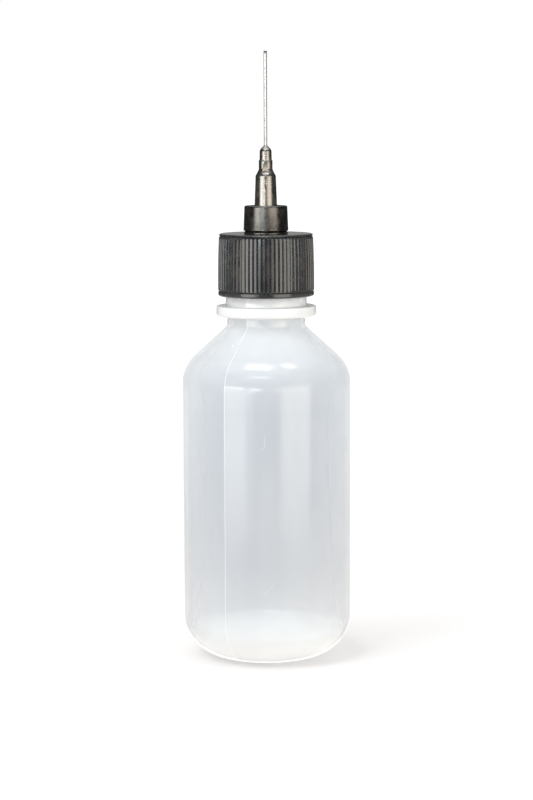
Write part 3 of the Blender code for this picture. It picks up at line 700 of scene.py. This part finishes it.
def cap_outline():
    """Over the top, down the grip and the band, and back up inside."""
    points = [(SHANK_HOLE_R, CAP_TOP)]
    points += straight((SHANK_HOLE_R + 1 * MM, CAP_TOP), (CAP_TOP_R - 0.8 * MM, CAP_TOP), 4)
    points += arc(CAP_TOP_R - CAP_ROUND, CAP_TOP - CAP_ROUND, CAP_ROUND, 90, 0, 8)
    points.append((CAP_TOP_R + 0.03 * MM, GRIP_TOP + 0.25 * MM))
    rows = 40
    for i in range(rows + 1):
        z = GRIP_TOP + 0.1 * MM + (GRIP_BOTTOM - GRIP_TOP - 0.2 * MM) * i / rows
        points.append((cap_wall(z), z))
    points += [(CAP_BAND_R, GRIP_BOTTOM - 0.2 * MM)]
    points += arc(CAP_BAND_R - 0.45 * MM, CAP_BOTTOM + 0.45 * MM, 0.45 * MM, 0, -90, 6)
    points.append((CAP_BORE_R + 0.25 * MM, CAP_BOTTOM))
    points.append((CAP_BORE_R, CAP_BOTTOM + 0.4 * MM))
    points += straight((CAP_BORE_R, CAP_BOTTOM + 3 * MM), (CAP_BORE_R, CAP_CEILING - 3 * MM), 50)
    points += [(CAP_BORE_R, CAP_CEILING - 0.3 * MM), (CAP_BORE_R - 0.3 * MM, CAP_CEILING)]
    return points + [(SHANK_HOLE_R, CAP_CEILING)]


def cap_surface(r, angle, z):
    """Adds the thread inside the cap, which lies under the neck's."""
    if abs(r - CAP_BORE_R) > 0.01 * MM or not CAP_BOTTOM + 2 * MM < z < CAP_CEILING - 2 * MM:
        return r
    start = NECK_THREAD_Z - CAP_THREAD_DROP - THREAD_PITCH / 2
    ridge = thread_ridge(angle, z, start, 0, THREAD_PITCH, THREAD_TURNS, THREAD_HALF_WIDTH)
    return r - CAP_THREAD_HEIGHT * ridge


print(f"cap from {CAP_BOTTOM / MM:.1f} to {CAP_TOP / MM:.1f} mm")

# %% Grip tree
GRIP_INPUTS = {
    "Rib Count": RIB_COUNT,
    "Rib Depth": RIB_DEPTH,
    "Grip Bottom": GRIP_BOTTOM,
    "Grip Top": GRIP_TOP,
    "Inner Limit": CAP_BORE_R + 0.5 * MM,
    "End Length": 0.3 * MM,
    "Groove": 0.22,
    "Land": 0.62,
}


def grip_tree():
    """Moves the points of the cap's outer wall outwards by a wave of their angle."""
    tree = bpy.data.node_groups.new("cap_grip", "GeometryNodeTree")
    face = tree.interface
    face.new_socket("Geometry", in_out="INPUT", socket_type="NodeSocketGeometry")
    for label in GRIP_INPUTS:
        face.new_socket(label, in_out="INPUT", socket_type="NodeSocketFloat")
    face.new_socket("Surface", in_out="INPUT", socket_type="NodeSocketMaterial")
    face.new_socket("Geometry", in_out="OUTPUT", socket_type="NodeSocketGeometry")
    source, out = add(tree, "NodeGroupInput"), add(tree, "NodeGroupOutput")
    value = source.outputs
    split = add(tree, "ShaderNodeSeparateXYZ")
    feed(tree, split.inputs[0], add(tree, "GeometryNodeInputPosition").outputs[0])
    x, y, z = split.outputs
    radius = math_node(tree, "SQRT", math_node(
        tree, "ADD", math_node(tree, "MULTIPLY", x, x), math_node(tree, "MULTIPLY", y, y)))
    angle = math_node(tree, "ARCTAN2", y, x)
    wave = math_node(tree, "COSINE", math_node(
        tree, "MULTIPLY", math_node(tree, "MULTIPLY", angle, value["Rib Count"]), 0.5))
    land = ranged(tree, math_node(tree, "ABSOLUTE", wave), value["Groove"], value["Land"], 0, 1)
    above = math_node(tree, "DIVIDE", math_node(
        tree, "SUBTRACT", z, value["Grip Bottom"]), value["End Length"])
    below = math_node(tree, "DIVIDE", math_node(
        tree, "SUBTRACT", value["Grip Top"], z), value["End Length"])
    ends = ranged(tree, math_node(tree, "MINIMUM", above, below), 0, 1, 0, 1)
    outside = math_node(tree, "GREATER_THAN", radius, value["Inner Limit"])
    push = math_node(tree, "MULTIPLY", math_node(tree, "MULTIPLY", land, ends), outside)
    push = math_node(tree, "MULTIPLY", push, value["Rib Depth"])
    outwards = add(tree, "ShaderNodeCombineXYZ")
    feed(tree, outwards.inputs["X"], math_node(tree, "DIVIDE", x, radius))
    feed(tree, outwards.inputs["Y"], math_node(tree, "DIVIDE", y, radius))
    scaled = add(tree, "ShaderNodeVectorMath", operation="SCALE")
    feed(tree, scaled.inputs[0], outwards.outputs[0])
    feed(tree, scaled.inputs["Scale"], push)
    moved = add(tree, "GeometryNodeSetPosition")
    feed(tree, moved.inputs["Geometry"], value["Geometry"])
    feed(tree, moved.inputs["Offset"], scaled.outputs[0])
    real = add(tree, "GeometryNodeRealizeInstances")
    feed(tree, real.inputs[0], moved.outputs[0])
    painted = add(tree, "GeometryNodeSetMaterial")
    feed(tree, painted.inputs["Geometry"], real.outputs[0])
    feed(tree, painted.inputs["Material"], value["Surface"])
    feed(tree, out.inputs[0], painted.outputs[0])
    return tree


def with_tree(piece, tree, values):
    """Adds a tree as a modifier, sets its inputs by their identifiers and applies it."""
    modifier = piece.modifiers.new(tree.name, "NODES")
    modifier.node_group = tree
    for item in tree.interface.items_tree:
        if item.in_out == "INPUT" and item.name in values:
            modifier[item.identifier] = values[item.name]
    return applied(piece)


cap = turned("ribbed_cap", cap_outline(), even_angles(8 * RIB_COUNT), closed=True,
             reshape=cap_surface)
with_tree(cap, grip_tree(), {**GRIP_INPUTS, "Surface": BLACK_PLASTIC})
dress(cap, "cap", "screw_cap", BLACK_PLASTIC)

# %% [markdown]
# ## Inside the cap
# A foam ring seals the rim. A washer and a thin nut pull the spout's stem down from inside, and
# an O-ring keeps glue from creeping up beside it. They only show once the cap is off, but then
# they are what makes it a real cap. The nut is a hexagon cut by a wide cone, which gives the
# curved chamfers that a real nut has.

# %% Foam liner, washer and O-ring
LINER_R, LINER_HOLE_R = 11.7 * MM, 7.6 * MM
WASHER_R, WASHER_HOLE_R = 5.0 * MM, 2.7 * MM
RING_STEPS = 96


def ring_piece(name, node, outer, inner, edge):
    """A flat ring with eased edges, between the heights of its node."""
    low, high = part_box(node)
    bottom, top = low[2], high[2]
    points = arc(outer - edge, top - edge, edge, 90, 0, 3)
    points += arc(outer - edge, bottom + edge, edge, 0, -90, 3)
    points += arc(inner + edge, bottom + edge, edge, 270, 180, 3)
    points += arc(inner + edge, top - edge, edge, 180, 90, 3)
    return turned(name, points, even_angles(RING_STEPS), closed=True)


liner = ring_piece("foam_liner", "cap_liner", LINER_R, LINER_HOLE_R, 0.15 * MM)
dress(liner, "liner", "cap_liner", WHITE_FOAM)
washer = ring_piece("flat_washer", "nut_washer", WASHER_R, WASHER_HOLE_R, 0.1 * MM)
dress(washer, "cap", "nut_washer", NEEDLE_STEEL)

o_low, o_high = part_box("stem_o_ring")
O_RING_CORD = (o_high[2] - o_low[2]) / 2
o_middle = (o_high[2] + o_low[2]) / 2
o_points = arc(o_high[0] - O_RING_CORD, o_middle, O_RING_CORD, 90, -255, 23)
o_ring = turned("o_ring", o_points, even_angles(RING_STEPS), closed=True)
dress(o_ring, "cap", "stem_o_ring", BLACK_RUBBER)

# %% Lock nut
NUT_BORE_R = 2.6 * MM
NUT_FLATS = 8.0 * MM
NUT_CHAMFER = 0.35 * MM
NUT_CONE_SLOPE = 2.2  # how far the cone widens for each unit away from a face


def make_nut():
    low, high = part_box("lock_nut")
    bottom, top = low[2], high[2]
    middle, thickness = (bottom + top) / 2, top - bottom
    corner = NUT_FLATS / 2 / math.cos(math.pi / 6)
    cone_r = NUT_FLATS / 2 - 0.05 * MM

    def hexagon(r, angle, z):
        """The hexagon's wall, held inside a cone near the top and the bottom."""
        if r < NUT_BORE_R + 0.5 * MM:
            return r
        flat = NUT_FLATS / 2 / math.cos((angle + math.pi / 6) % (math.pi / 3) - math.pi / 6)
        near_face = thickness / 2 - abs(z - middle)
        return min(flat, cone_r + near_face * NUT_CONE_SLOPE, r if r < cone_r else corner)

    points = [(cone_r - 0.3 * MM, top)]
    points += straight((corner, top), (corner, top - NUT_CHAMFER), 6)
    points += straight((corner, top - NUT_CHAMFER), (corner, bottom + NUT_CHAMFER), 4)
    points += straight((corner, bottom + NUT_CHAMFER), (corner, bottom), 6)
    points += [(corner, bottom), (cone_r - 0.3 * MM, bottom)]
    points += [(NUT_BORE_R + 0.25 * MM, bottom), (NUT_BORE_R, bottom + 0.25 * MM)]
    points += [(NUT_BORE_R, top - 0.25 * MM), (NUT_BORE_R + 0.25 * MM, top)]
    return turned("thin_lock_nut", points, even_angles(144), closed=True, reshape=hexagon)


nut = make_nut()
dress(nut, "cap", "lock_nut", NEEDLE_STEEL)

# %% [markdown]
# ## The spout
# The stem is a turned part: a tapered spigot that the needle's socket wedges onto, a flange, and
# a threaded shank. The dark collar stands round it. Inside the collar are two short thread ridges
# that catch the lugs of the needle and draw it down.

# %% Spout stem
stem_low, stem_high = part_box("spout_stem")
STEM_BOTTOM, STEM_TIP = stem_low[2], stem_high[2]
FLANGE_TOP = STEM_TIP - 7.0 * MM
FLANGE_THICKNESS = 0.9 * MM
SHANK_R, STEM_BORE_R = 2.5 * MM, 1.0 * MM
TAPER_BASE_R, TAPER_SLOPE = 2.2 * MM, 0.03
FLANGE_R = 3.3 * MM
SHANK_PITCH, SHANK_THREAD_DEPTH = 0.8 * MM, 0.22 * MM


def stem_surface(r, angle, z):
    """Cuts a fine thread into the shank, never standing out past its full radius."""
    if abs(r - SHANK_R) > 0.01 * MM or z > FLANGE_TOP - FLANGE_THICKNESS - 0.6 * MM:
        return r
    turn = (z / SHANK_PITCH - angle / TAU) % 1
    return r - SHANK_THREAD_DEPTH * abs(2 * turn - 1)


def stem_outline():
    """From the bore over the tip, then down the taper, the flange and the shank."""
    tip_r = TAPER_BASE_R - TAPER_SLOPE * (STEM_TIP - FLANGE_TOP)
    shank_top = FLANGE_TOP - FLANGE_THICKNESS
    points = [(STEM_BORE_R, STEM_TIP - 0.15 * MM), (STEM_BORE_R + 0.15 * MM, STEM_TIP)]
    points += arc(tip_r - 0.25 * MM, STEM_TIP - 0.25 * MM, 0.25 * MM, 90, 0, 4)
    points.append((TAPER_BASE_R, FLANGE_TOP))
    points += arc(FLANGE_R - 0.15 * MM, FLANGE_TOP - 0.15 * MM, 0.15 * MM, 90, 0, 3)
    points += [(FLANGE_R, shank_top), (SHANK_R, shank_top)]
    points += straight((SHANK_R, shank_top - 0.3 * MM), (SHANK_R, STEM_BOTTOM + 0.4 * MM), 90)
    return points + [(SHANK_R - 0.4 * MM, STEM_BOTTOM), (STEM_BORE_R, STEM_BOTTOM)]


stem = turned("tapered_stem", stem_outline(), even_angles(72), closed=True, reshape=stem_surface)
dress(stem, "cap", "spout_stem", BRIGHT_NICKEL)

# %% Locking collar
collar_low, collar_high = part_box("lock_collar")
COLLAR_BOTTOM, COLLAR_TOP = collar_low[2], collar_high[2]
COLLAR_BASE_R = collar_high[0]
COLLAR_TOP_R, COLLAR_BORE_R, COLLAR_HOLE_R = 6.06 * MM, 4.05 * MM, SHANK_R + 0.15 * MM
POCKET_R = 3.9 * MM  # the recess under the collar that holds the O-ring
LOCK_LEAD, LOCK_START_Z, LOCK_AZIMUTH = 5.0 * MM, 125.0 * MM, math.radians(-25)
LOCK_HALF_WIDTH, LOCK_HEIGHT = 0.5 * MM, 0.5 * MM


def collar_surface(r, angle, z):
    """Adds the two thread ridges on the bore."""
    if abs(r - COLLAR_BORE_R) > 0.01 * MM:
        return r
    ridge = max(
        thread_ridge(angle, z, LOCK_START_Z, LOCK_AZIMUTH + math.pi * start, LOCK_LEAD,
                     0.5, LOCK_HALF_WIDTH)
        for start in range(2)
    )
    return r - LOCK_HEIGHT * ridge


def collar_outline():
    """Over the rim, down the outside, and up through the O-ring's pocket and the bore."""
    floor = COLLAR_BOTTOM + 1.8 * MM
    pocket = COLLAR_BOTTOM + 2 * O_RING_CORD + 0.15 * MM
    points = [(COLLAR_BORE_R + 0.25 * MM, COLLAR_TOP)]
    points += arc(COLLAR_TOP_R - 0.5 * MM, COLLAR_TOP - 0.5 * MM, 0.5 * MM, 90, 0, 8)
    points.append((COLLAR_BASE_R - 0.06 * MM, COLLAR_BOTTOM + 1.2 * MM))
    points += arc(COLLAR_BASE_R - 0.25 * MM, COLLAR_BOTTOM + 0.95 * MM, 0.25 * MM, 0, -60, 5)
    points.append((COLLAR_BASE_R - 0.5 * MM, COLLAR_BOTTOM + 0.5 * MM))
    # a thin lip at the foot faces up, so it shows as a bright line against the cap
    lip_r = COLLAR_BASE_R - 0.1 * MM
    points += [(lip_r, COLLAR_BOTTOM + 0.2 * MM), (lip_r, COLLAR_BOTTOM)]
    points += [(POCKET_R, COLLAR_BOTTOM), (POCKET_R, pocket), (COLLAR_HOLE_R, pocket)]
    points += [(COLLAR_HOLE_R, floor), (COLLAR_BORE_R, floor)]
    points += straight((COLLAR_BORE_R, floor + 0.3 * MM), (COLLAR_BORE_R, COLLAR_TOP - 0.3 * MM), 48)
    return points + [(COLLAR_BORE_R, COLLAR_TOP - 0.25 * MM)]


collar = turned("locking_collar", collar_outline(), even_angles(160), closed=True,
                reshape=collar_surface)
dress(collar, "cap", "lock_collar", SMOKED_NICKEL)

# %% [markdown]
# ## The needle hub
# The hub starts on a lathe and then goes to a mill, which cuts four flats with a round run-out at
# the foot of each, and a short index slot below the front one. It is made the same way here: a
# turned blank, then Booleans, then a narrow bevel, because an edge with no width at all never
# catches the light.

# %% Hub blank
hub_low, hub_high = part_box("needle_hub")
HUB_BOTTOM, HUB_TOP = hub_low[2], hub_high[2]
HUB_SHOULDER_Z, FLAT_TOP = 136.4 * MM, 140.85 * MM
HUB_BASE_R, HUB_SHOULDER_R, HUB_WAIST_R, NOSE_R = 3.34 * MM, 2.87 * MM, 2.1 * MM, 1.68 * MM
HUB_BORE_R = 0.5 * MM
SOCKET_TOP = 131.2 * MM


def hub_outline():
    """Outside from the nose's countersink down, then back up inside the socket and the bore."""
    nose = 1.35 * MM
    points = [(0.82 * MM, HUB_TOP)]
    points += arc(NOSE_R - nose, HUB_TOP - nose - 0.1 * MM, nose, 62, 0, 12)
    points += [(NOSE_R + 0.04 * MM, FLAT_TOP + 0.25 * MM)]
    points += arc(HUB_WAIST_R - 0.23 * MM, FLAT_TOP - 0.1 * MM, 0.15 * MM, 90, 0, 4)
    points.append((HUB_WAIST_R, FLAT_TOP - 1.1 * MM))
    flare = HUB_SHOULDER_Z + 2.3 * MM
    for i in range(13):
        k = i / 12
        radius = HUB_WAIST_R + (HUB_SHOULDER_R - HUB_WAIST_R) * smooth_step(k)
        points.append((radius, flare + (HUB_SHOULDER_Z - flare) * k))
    points += straight((HUB_SHOULDER_R, HUB_SHOULDER_Z - 0.2 * MM), (HUB_BASE_R, HUB_BOTTOM), 8)[1:]
    points += [(HUB_BASE_R, HUB_BOTTOM + 0.1 * MM), (HUB_BASE_R - 0.1 * MM, HUB_BOTTOM)]
    socket_r = TAPER_BASE_R + 0.1 * MM
    drop = FLANGE_TOP - HUB_BOTTOM
    points.append((socket_r + TAPER_SLOPE * drop, HUB_BOTTOM))
    points.append((socket_r - TAPER_SLOPE * (SOCKET_TOP - FLANGE_TOP), SOCKET_TOP))
    return points + [(HUB_BORE_R, SOCKET_TOP + 1 * MM), (HUB_BORE_R, HUB_TOP - 0.45 * MM)]


hub = turned("milled_hub", hub_outline(), even_angles(96), closed=True)
print("hub blank turned")

# %% Hub milling
FLAT_DISTANCE, FLAT_WIDTH, FLAT_BOTTOM = 1.93 * MM, 1.7 * MM, 138.0 * MM
RUN_OUT_R = 1.3 * MM
LUG_R, LUG_WIDTH, LUG_THICKNESS = 3.85 * MM, 2.2 * MM, 0.7 * MM
NOTCH_WIDTH, NOTCH_DEPTH, NOTCH_BOTTOM = 0.45 * MM, 0.22 * MM, 133.4 * MM


def cutter(name, outline, thickness, matrix):
    """A flat outline made thick along Z, then placed. It is only a tool, so it isn't shown."""
    shape = bmesh.new()
    face = shape.faces.new([shape.verts.new((x, y, 0)) for x, y in outline])
    grown = bmesh.ops.extrude_face_region(shape, geom=[face])
    top = [v for v in grown["geom"] if isinstance(v, bmesh.types.BMVert)]
    bmesh.ops.translate(shape, vec=(0, 0, thickness), verts=top)
    bmesh.ops.recalc_face_normals(shape, faces=shape.faces)
    bmesh.ops.transform(shape, matrix=matrix, verts=shape.verts)
    return finished(name, shape)


def mill(piece, tool, operation="DIFFERENCE"):
    modifier = piece.modifiers.new(tool.name, "BOOLEAN")
    modifier.operation = operation
    modifier.object = tool


def flat_tool(azimuth):
    """The path of a round-nosed mill down one side of the hub."""
    reach = 1.0 * MM
    centre = FLAT_DISTANCE + RUN_OUT_R
    outline = [(centre + reach, FLAT_TOP + 0.4 * MM), (FLAT_DISTANCE, FLAT_TOP + 0.4 * MM)]
    outline += arc(centre, FLAT_BOTTOM, RUN_OUT_R, 180, 270, 14)
    outline.append((centre + reach, FLAT_BOTTOM - RUN_OUT_R))
    turn = Matrix.Rotation(azimuth, 4, "Z") @ Matrix.Rotation(math.pi / 2, 4, "X")
    return cutter("flat_tool", outline, FLAT_WIDTH,
                  turn @ Matrix.Translation((0, 0, -FLAT_WIDTH / 2)))


def lug_tool():
    """A bar with round ends across the hub's foot, open in the middle for the spigot."""
    end = math.asin(LUG_WIDTH / 2 / LUG_R)
    angles = [end * k / 4 for k in range(-4, 5)]
    outline = [(LUG_R * math.cos(a), LUG_R * math.sin(a)) for a in angles]
    outline += [(-x, -y) for x, y in outline]
    place = Matrix.Translation((0, 0, HUB_BOTTOM + 0.1 * MM))
    bar = cutter("lug_tool", outline, LUG_THICKNESS, place)
    bore_r = TAPER_BASE_R + 0.5 * MM
    bore = [(bore_r * math.cos(a), bore_r * math.sin(a)) for a in even_angles(48)]
    mill(bar, cutter("lug_bore_tool", bore, 2 * LUG_THICKNESS,
                     Matrix.Translation((0, 0, HUB_BOTTOM - 0.3 * MM))))
    return bar


def notch_tool():
    """A narrow slot for the index mark on the hub's front."""
    height = HUB_SHOULDER_Z + 0.2 * MM - NOTCH_BOTTOM
    half = NOTCH_WIDTH / 2
    outline = [(-half, -4 * MM), (half, -4 * MM)]
    outline += [(half, -HUB_SHOULDER_R + NOTCH_DEPTH), (-half, -HUB_SHOULDER_R + NOTCH_DEPTH)]
    return cutter("notch_tool", outline, height, Matrix.Translation((0, 0, NOTCH_BOTTOM)))


mill(hub, lug_tool(), "UNION")
for quarter in range(4):
    mill(hub, flat_tool(quarter * math.pi / 2))
mill(hub, notch_tool())
edge = hub.modifiers.new("eased_edges", "BEVEL")
edge.width = 0.05 * MM
edge.segments = 2
edge.limit_method = "ANGLE"
edge.angle_limit = math.radians(40)
applied(hub)
for tool in [o for o in bpy.data.objects if "_tool" in o.name]:
    bpy.data.objects.remove(tool)
dress(hub, "hub", "needle_hub", BRIGHT_NICKEL)

# %% [markdown]
# ## The needle
# The tube is drawn steel, cut square and eased at the tip. Glue runs up its bore, so it is a true
# tube. A bead of solder holds it in the hub's countersink.

# %% Needle tube and solder
tube_low, tube_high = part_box("needle_tube")
TUBE_BOTTOM, TUBE_TOP = tube_low[2], tube_high[2]
TUBE_R, TUBE_BORE_R = tube_high[0], 0.3 * MM


def tube_outline():
    edge = 0.05 * MM
    points = arc(TUBE_R - edge, TUBE_TOP - edge, edge, 90, 0, 3)
    points += straight((TUBE_R, TUBE_TOP - 1 * MM), (TUBE_R, TUBE_BOTTOM), 12)
    points += [(TUBE_R, TUBE_BOTTOM), (TUBE_BORE_R, TUBE_BOTTOM)]
    return points + arc(TUBE_BORE_R + edge, TUBE_TOP - edge, edge, 180, 90, 3)


tube = turned("blunt_needle", tube_outline(), even_angles(48), closed=True)
dress(tube, "cannula", "needle_tube", NEEDLE_STEEL)

bead_inner = TUBE_R + 0.05 * MM
bead_top, bead_bottom = HUB_TOP + 0.35 * MM, HUB_TOP - 0.33 * MM
bead_points = [(bead_inner, bead_top)]
bead_points += arc(bead_inner + 0.34 * MM, bead_top, 0.32 * MM, 190, 262, 6)
bead_points += [(bead_inner + 0.03 * MM, bead_bottom), (bead_inner, bead_bottom)]
bead = turned("solder_bead", bead_points, even_angles(48), closed=True)
dress(bead, "hub", "solder_fillet", SOLDER)

# %% [markdown]
# ## Studio
# The bottle stands on a wide disc of pale paper, a little greyer near the bottle so that a soft
# shadow shows, and brighter further away so that no horizon does. Matt surfaces are lit from all
# round, as in a light tent, with a broad key light from the upper left and a weak fill from the
# right. Shiny ones show whatever stands near them, so they get their own surroundings: dark cards
# all round with softboxes between them. That is how a studio gives metal its dark edges and clean
# bright bands while the background stays white.

# %% Floor
FLOOR_RADIUS = 12.0
FLOOR_DROP = 0.02 * MM  # keeps the paper just clear of the base
PAPER_NEAR, PAPER_FAR = 0.15, 0.6  # the paper brightens between these distances


def make_floor():
    shape = bmesh.new()
    bmesh.ops.create_circle(shape, cap_ends=True, segments=96, radius=FLOOR_RADIUS)
    bmesh.ops.translate(shape, vec=(0, 0, -FLOOR_DROP), verts=shape.verts)
    floor = finished("pale_floor", shape)
    surface, tree, shader = principled("pale_paper", (0.67, 0.64, 0.62), 0.9)
    shader.inputs["Specular IOR Level"].default_value = 0.0
    fibres = noise(tree, mapped(tree), 900, 3.0)
    near = mixed(tree, fibres, (0.695, 0.665, 0.645), (0.715, 0.685, 0.665))
    away = add(tree, "ShaderNodeVectorMath", operation="LENGTH")
    feed(tree, away.inputs[0], mapped(tree))
    far = ranged(tree, away.outputs["Value"], PAPER_NEAR, PAPER_FAR, 0, 1)
    feed(tree, shader.inputs["Base Color"], mixed(tree, far, near, (0.86, 0.86, 0.86)))
    floor.data.materials.append(surface)
    floor.visible_glossy = False  # reflections meet the dark cards instead
    return floor


floor = make_floor()
print(f"floor {2 * FLOOR_RADIUS:.0f} m across")

# %% Softboxes
BOTTLE_MIDDLE = Vector((0, 0, 90 * MM))
LAMP_DISTANCE = 1.0


def softbox(name, sides, rise, radiance, colour, matt=False):
    """A rectangular lamp, given by the directions that it fills as the bottle sees it: from and
    to, in degrees, round from the camera's side towards its right, and up from level. It lights
    either matt surfaces or shiny ones."""
    turn, lift = (math.radians(sum(pair) / 2) for pair in (sides, rise))
    away = Vector((math.sin(turn) * math.cos(lift), -math.cos(turn) * math.cos(lift), math.sin(lift)))
    data = bpy.data.lights.new(name, "AREA")
    data.shape = "RECTANGLE"
    data.size = LAMP_DISTANCE * math.cos(lift) * math.radians(sides[1] - sides[0])
    data.size_y = LAMP_DISTANCE * math.radians(rise[1] - rise[0])
    data.energy = radiance * math.pi * data.size * data.size_y
    data.color = colour
    lamp = bpy.data.objects.new(name, data)
    lamp.location = BOTTLE_MIDDLE + away * LAMP_DISTANCE
    lamp.rotation_euler = away.to_track_quat("Z", "Y").to_euler()
    lamp.visible_camera = False
    lamp.visible_diffuse = matt
    lamp.visible_glossy = not matt
    bpy.context.scene.collection.objects.link(lamp)


CREAM, WARM, COOL = (1.0, 0.98, 0.94), (1.0, 0.92, 0.82), (0.92, 0.97, 1.0)
softbox("left_softbox", (-62, -27), (-13, 10), 2.3, CREAM)
softbox("left_softbox_top", (-58, -30), (7, 11), 4.0, COOL)
softbox("left_inner_card", (-27, -18), (-13, 12), 0.7, COOL)
softbox("left_cap_card", (-27, -14), (-4, 9), 1.5, COOL)
softbox("front_card", (-14, 10), (-35, 60), 0.2, COOL)
softbox("right_cap_card", (10, 18), (-4, 9), 1.1, WARM)
softbox("right_softbox", (18, 62), (-13, 12), 2.0, WARM)
softbox("left_side_card", (-128, -62), (-35, -4), 0.3, CREAM)
softbox("right_side_card", (62, 128), (-35, -4), 0.3, WARM)
softbox("low_window", (-20, -6), (4, 9), 5.0, COOL)
softbox("high_window", (-28, 6), (37, 41), 4.0, COOL)
softbox("overhead_softbox", (-60, 18), (60, 78), 3.0, COOL)
softbox("high_side_window", (48, 75), (58, 72), 4.0, COOL)
softbox("back_left_softbox", (-152, -128), (-35, -5), 0.4, CREAM)
softbox("back_right_softbox", (128, 152), (-35, -5), 0.4, WARM)
softbox("backdrop", (164, 196), (-5, 40), 0.3, CREAM)
softbox("low_backdrop", (155, 205), (-45, -5), 1.2, CREAM)
softbox("key_light", (-80, -26), (32, 64), 5.2, COOL, matt=True)
softbox("right_fill", (40, 95), (-5, 30), 1.6, CREAM, matt=True)


# %% World
def make_world():
    """White where the camera looks, a light tent for matt surfaces, dark cards for shiny ones."""
    world = bpy.data.worlds.new("studio")
    world.use_nodes = True
    tree = world.node_tree
    path = add(tree, "ShaderNodeLightPath")
    split = add(tree, "ShaderNodeSeparateXYZ")
    feed(tree, split.inputs["Vector"], add(tree, "ShaderNodeTexCoord").outputs["Generated"])
    side = math_node(tree, "ABSOLUTE", split.outputs["X"])
    tent = mixed(tree, ranged(tree, side, 0.15, 0.85, 0, 1), (1.0, 1.05, 1.11), (1.38, 1.36, 1.32))
    tent = mixed(tree, ranged(tree, split.outputs["Z"], 0.35, 0.9, 0, 1), tent, (1.24, 1.3, 1.36))
    up = ranged(tree, split.outputs["Z"], 0.6, 0.9, 0, 0.8)
    down = ranged(tree, split.outputs["Z"], -0.6, -0.3, 0.7, 0.04)
    cards = math_node(tree, "ADD", up, down)
    matt_or_shiny = mixed(tree, path.outputs["Is Glossy Ray"], tent, cards)
    seen = mixed(tree, path.outputs["Is Camera Ray"], matt_or_shiny, (1, 1, 1))
    feed(tree, tree.nodes["Background"].inputs["Color"], seen)
    bpy.context.scene.world = world


make_world()
print("world made")
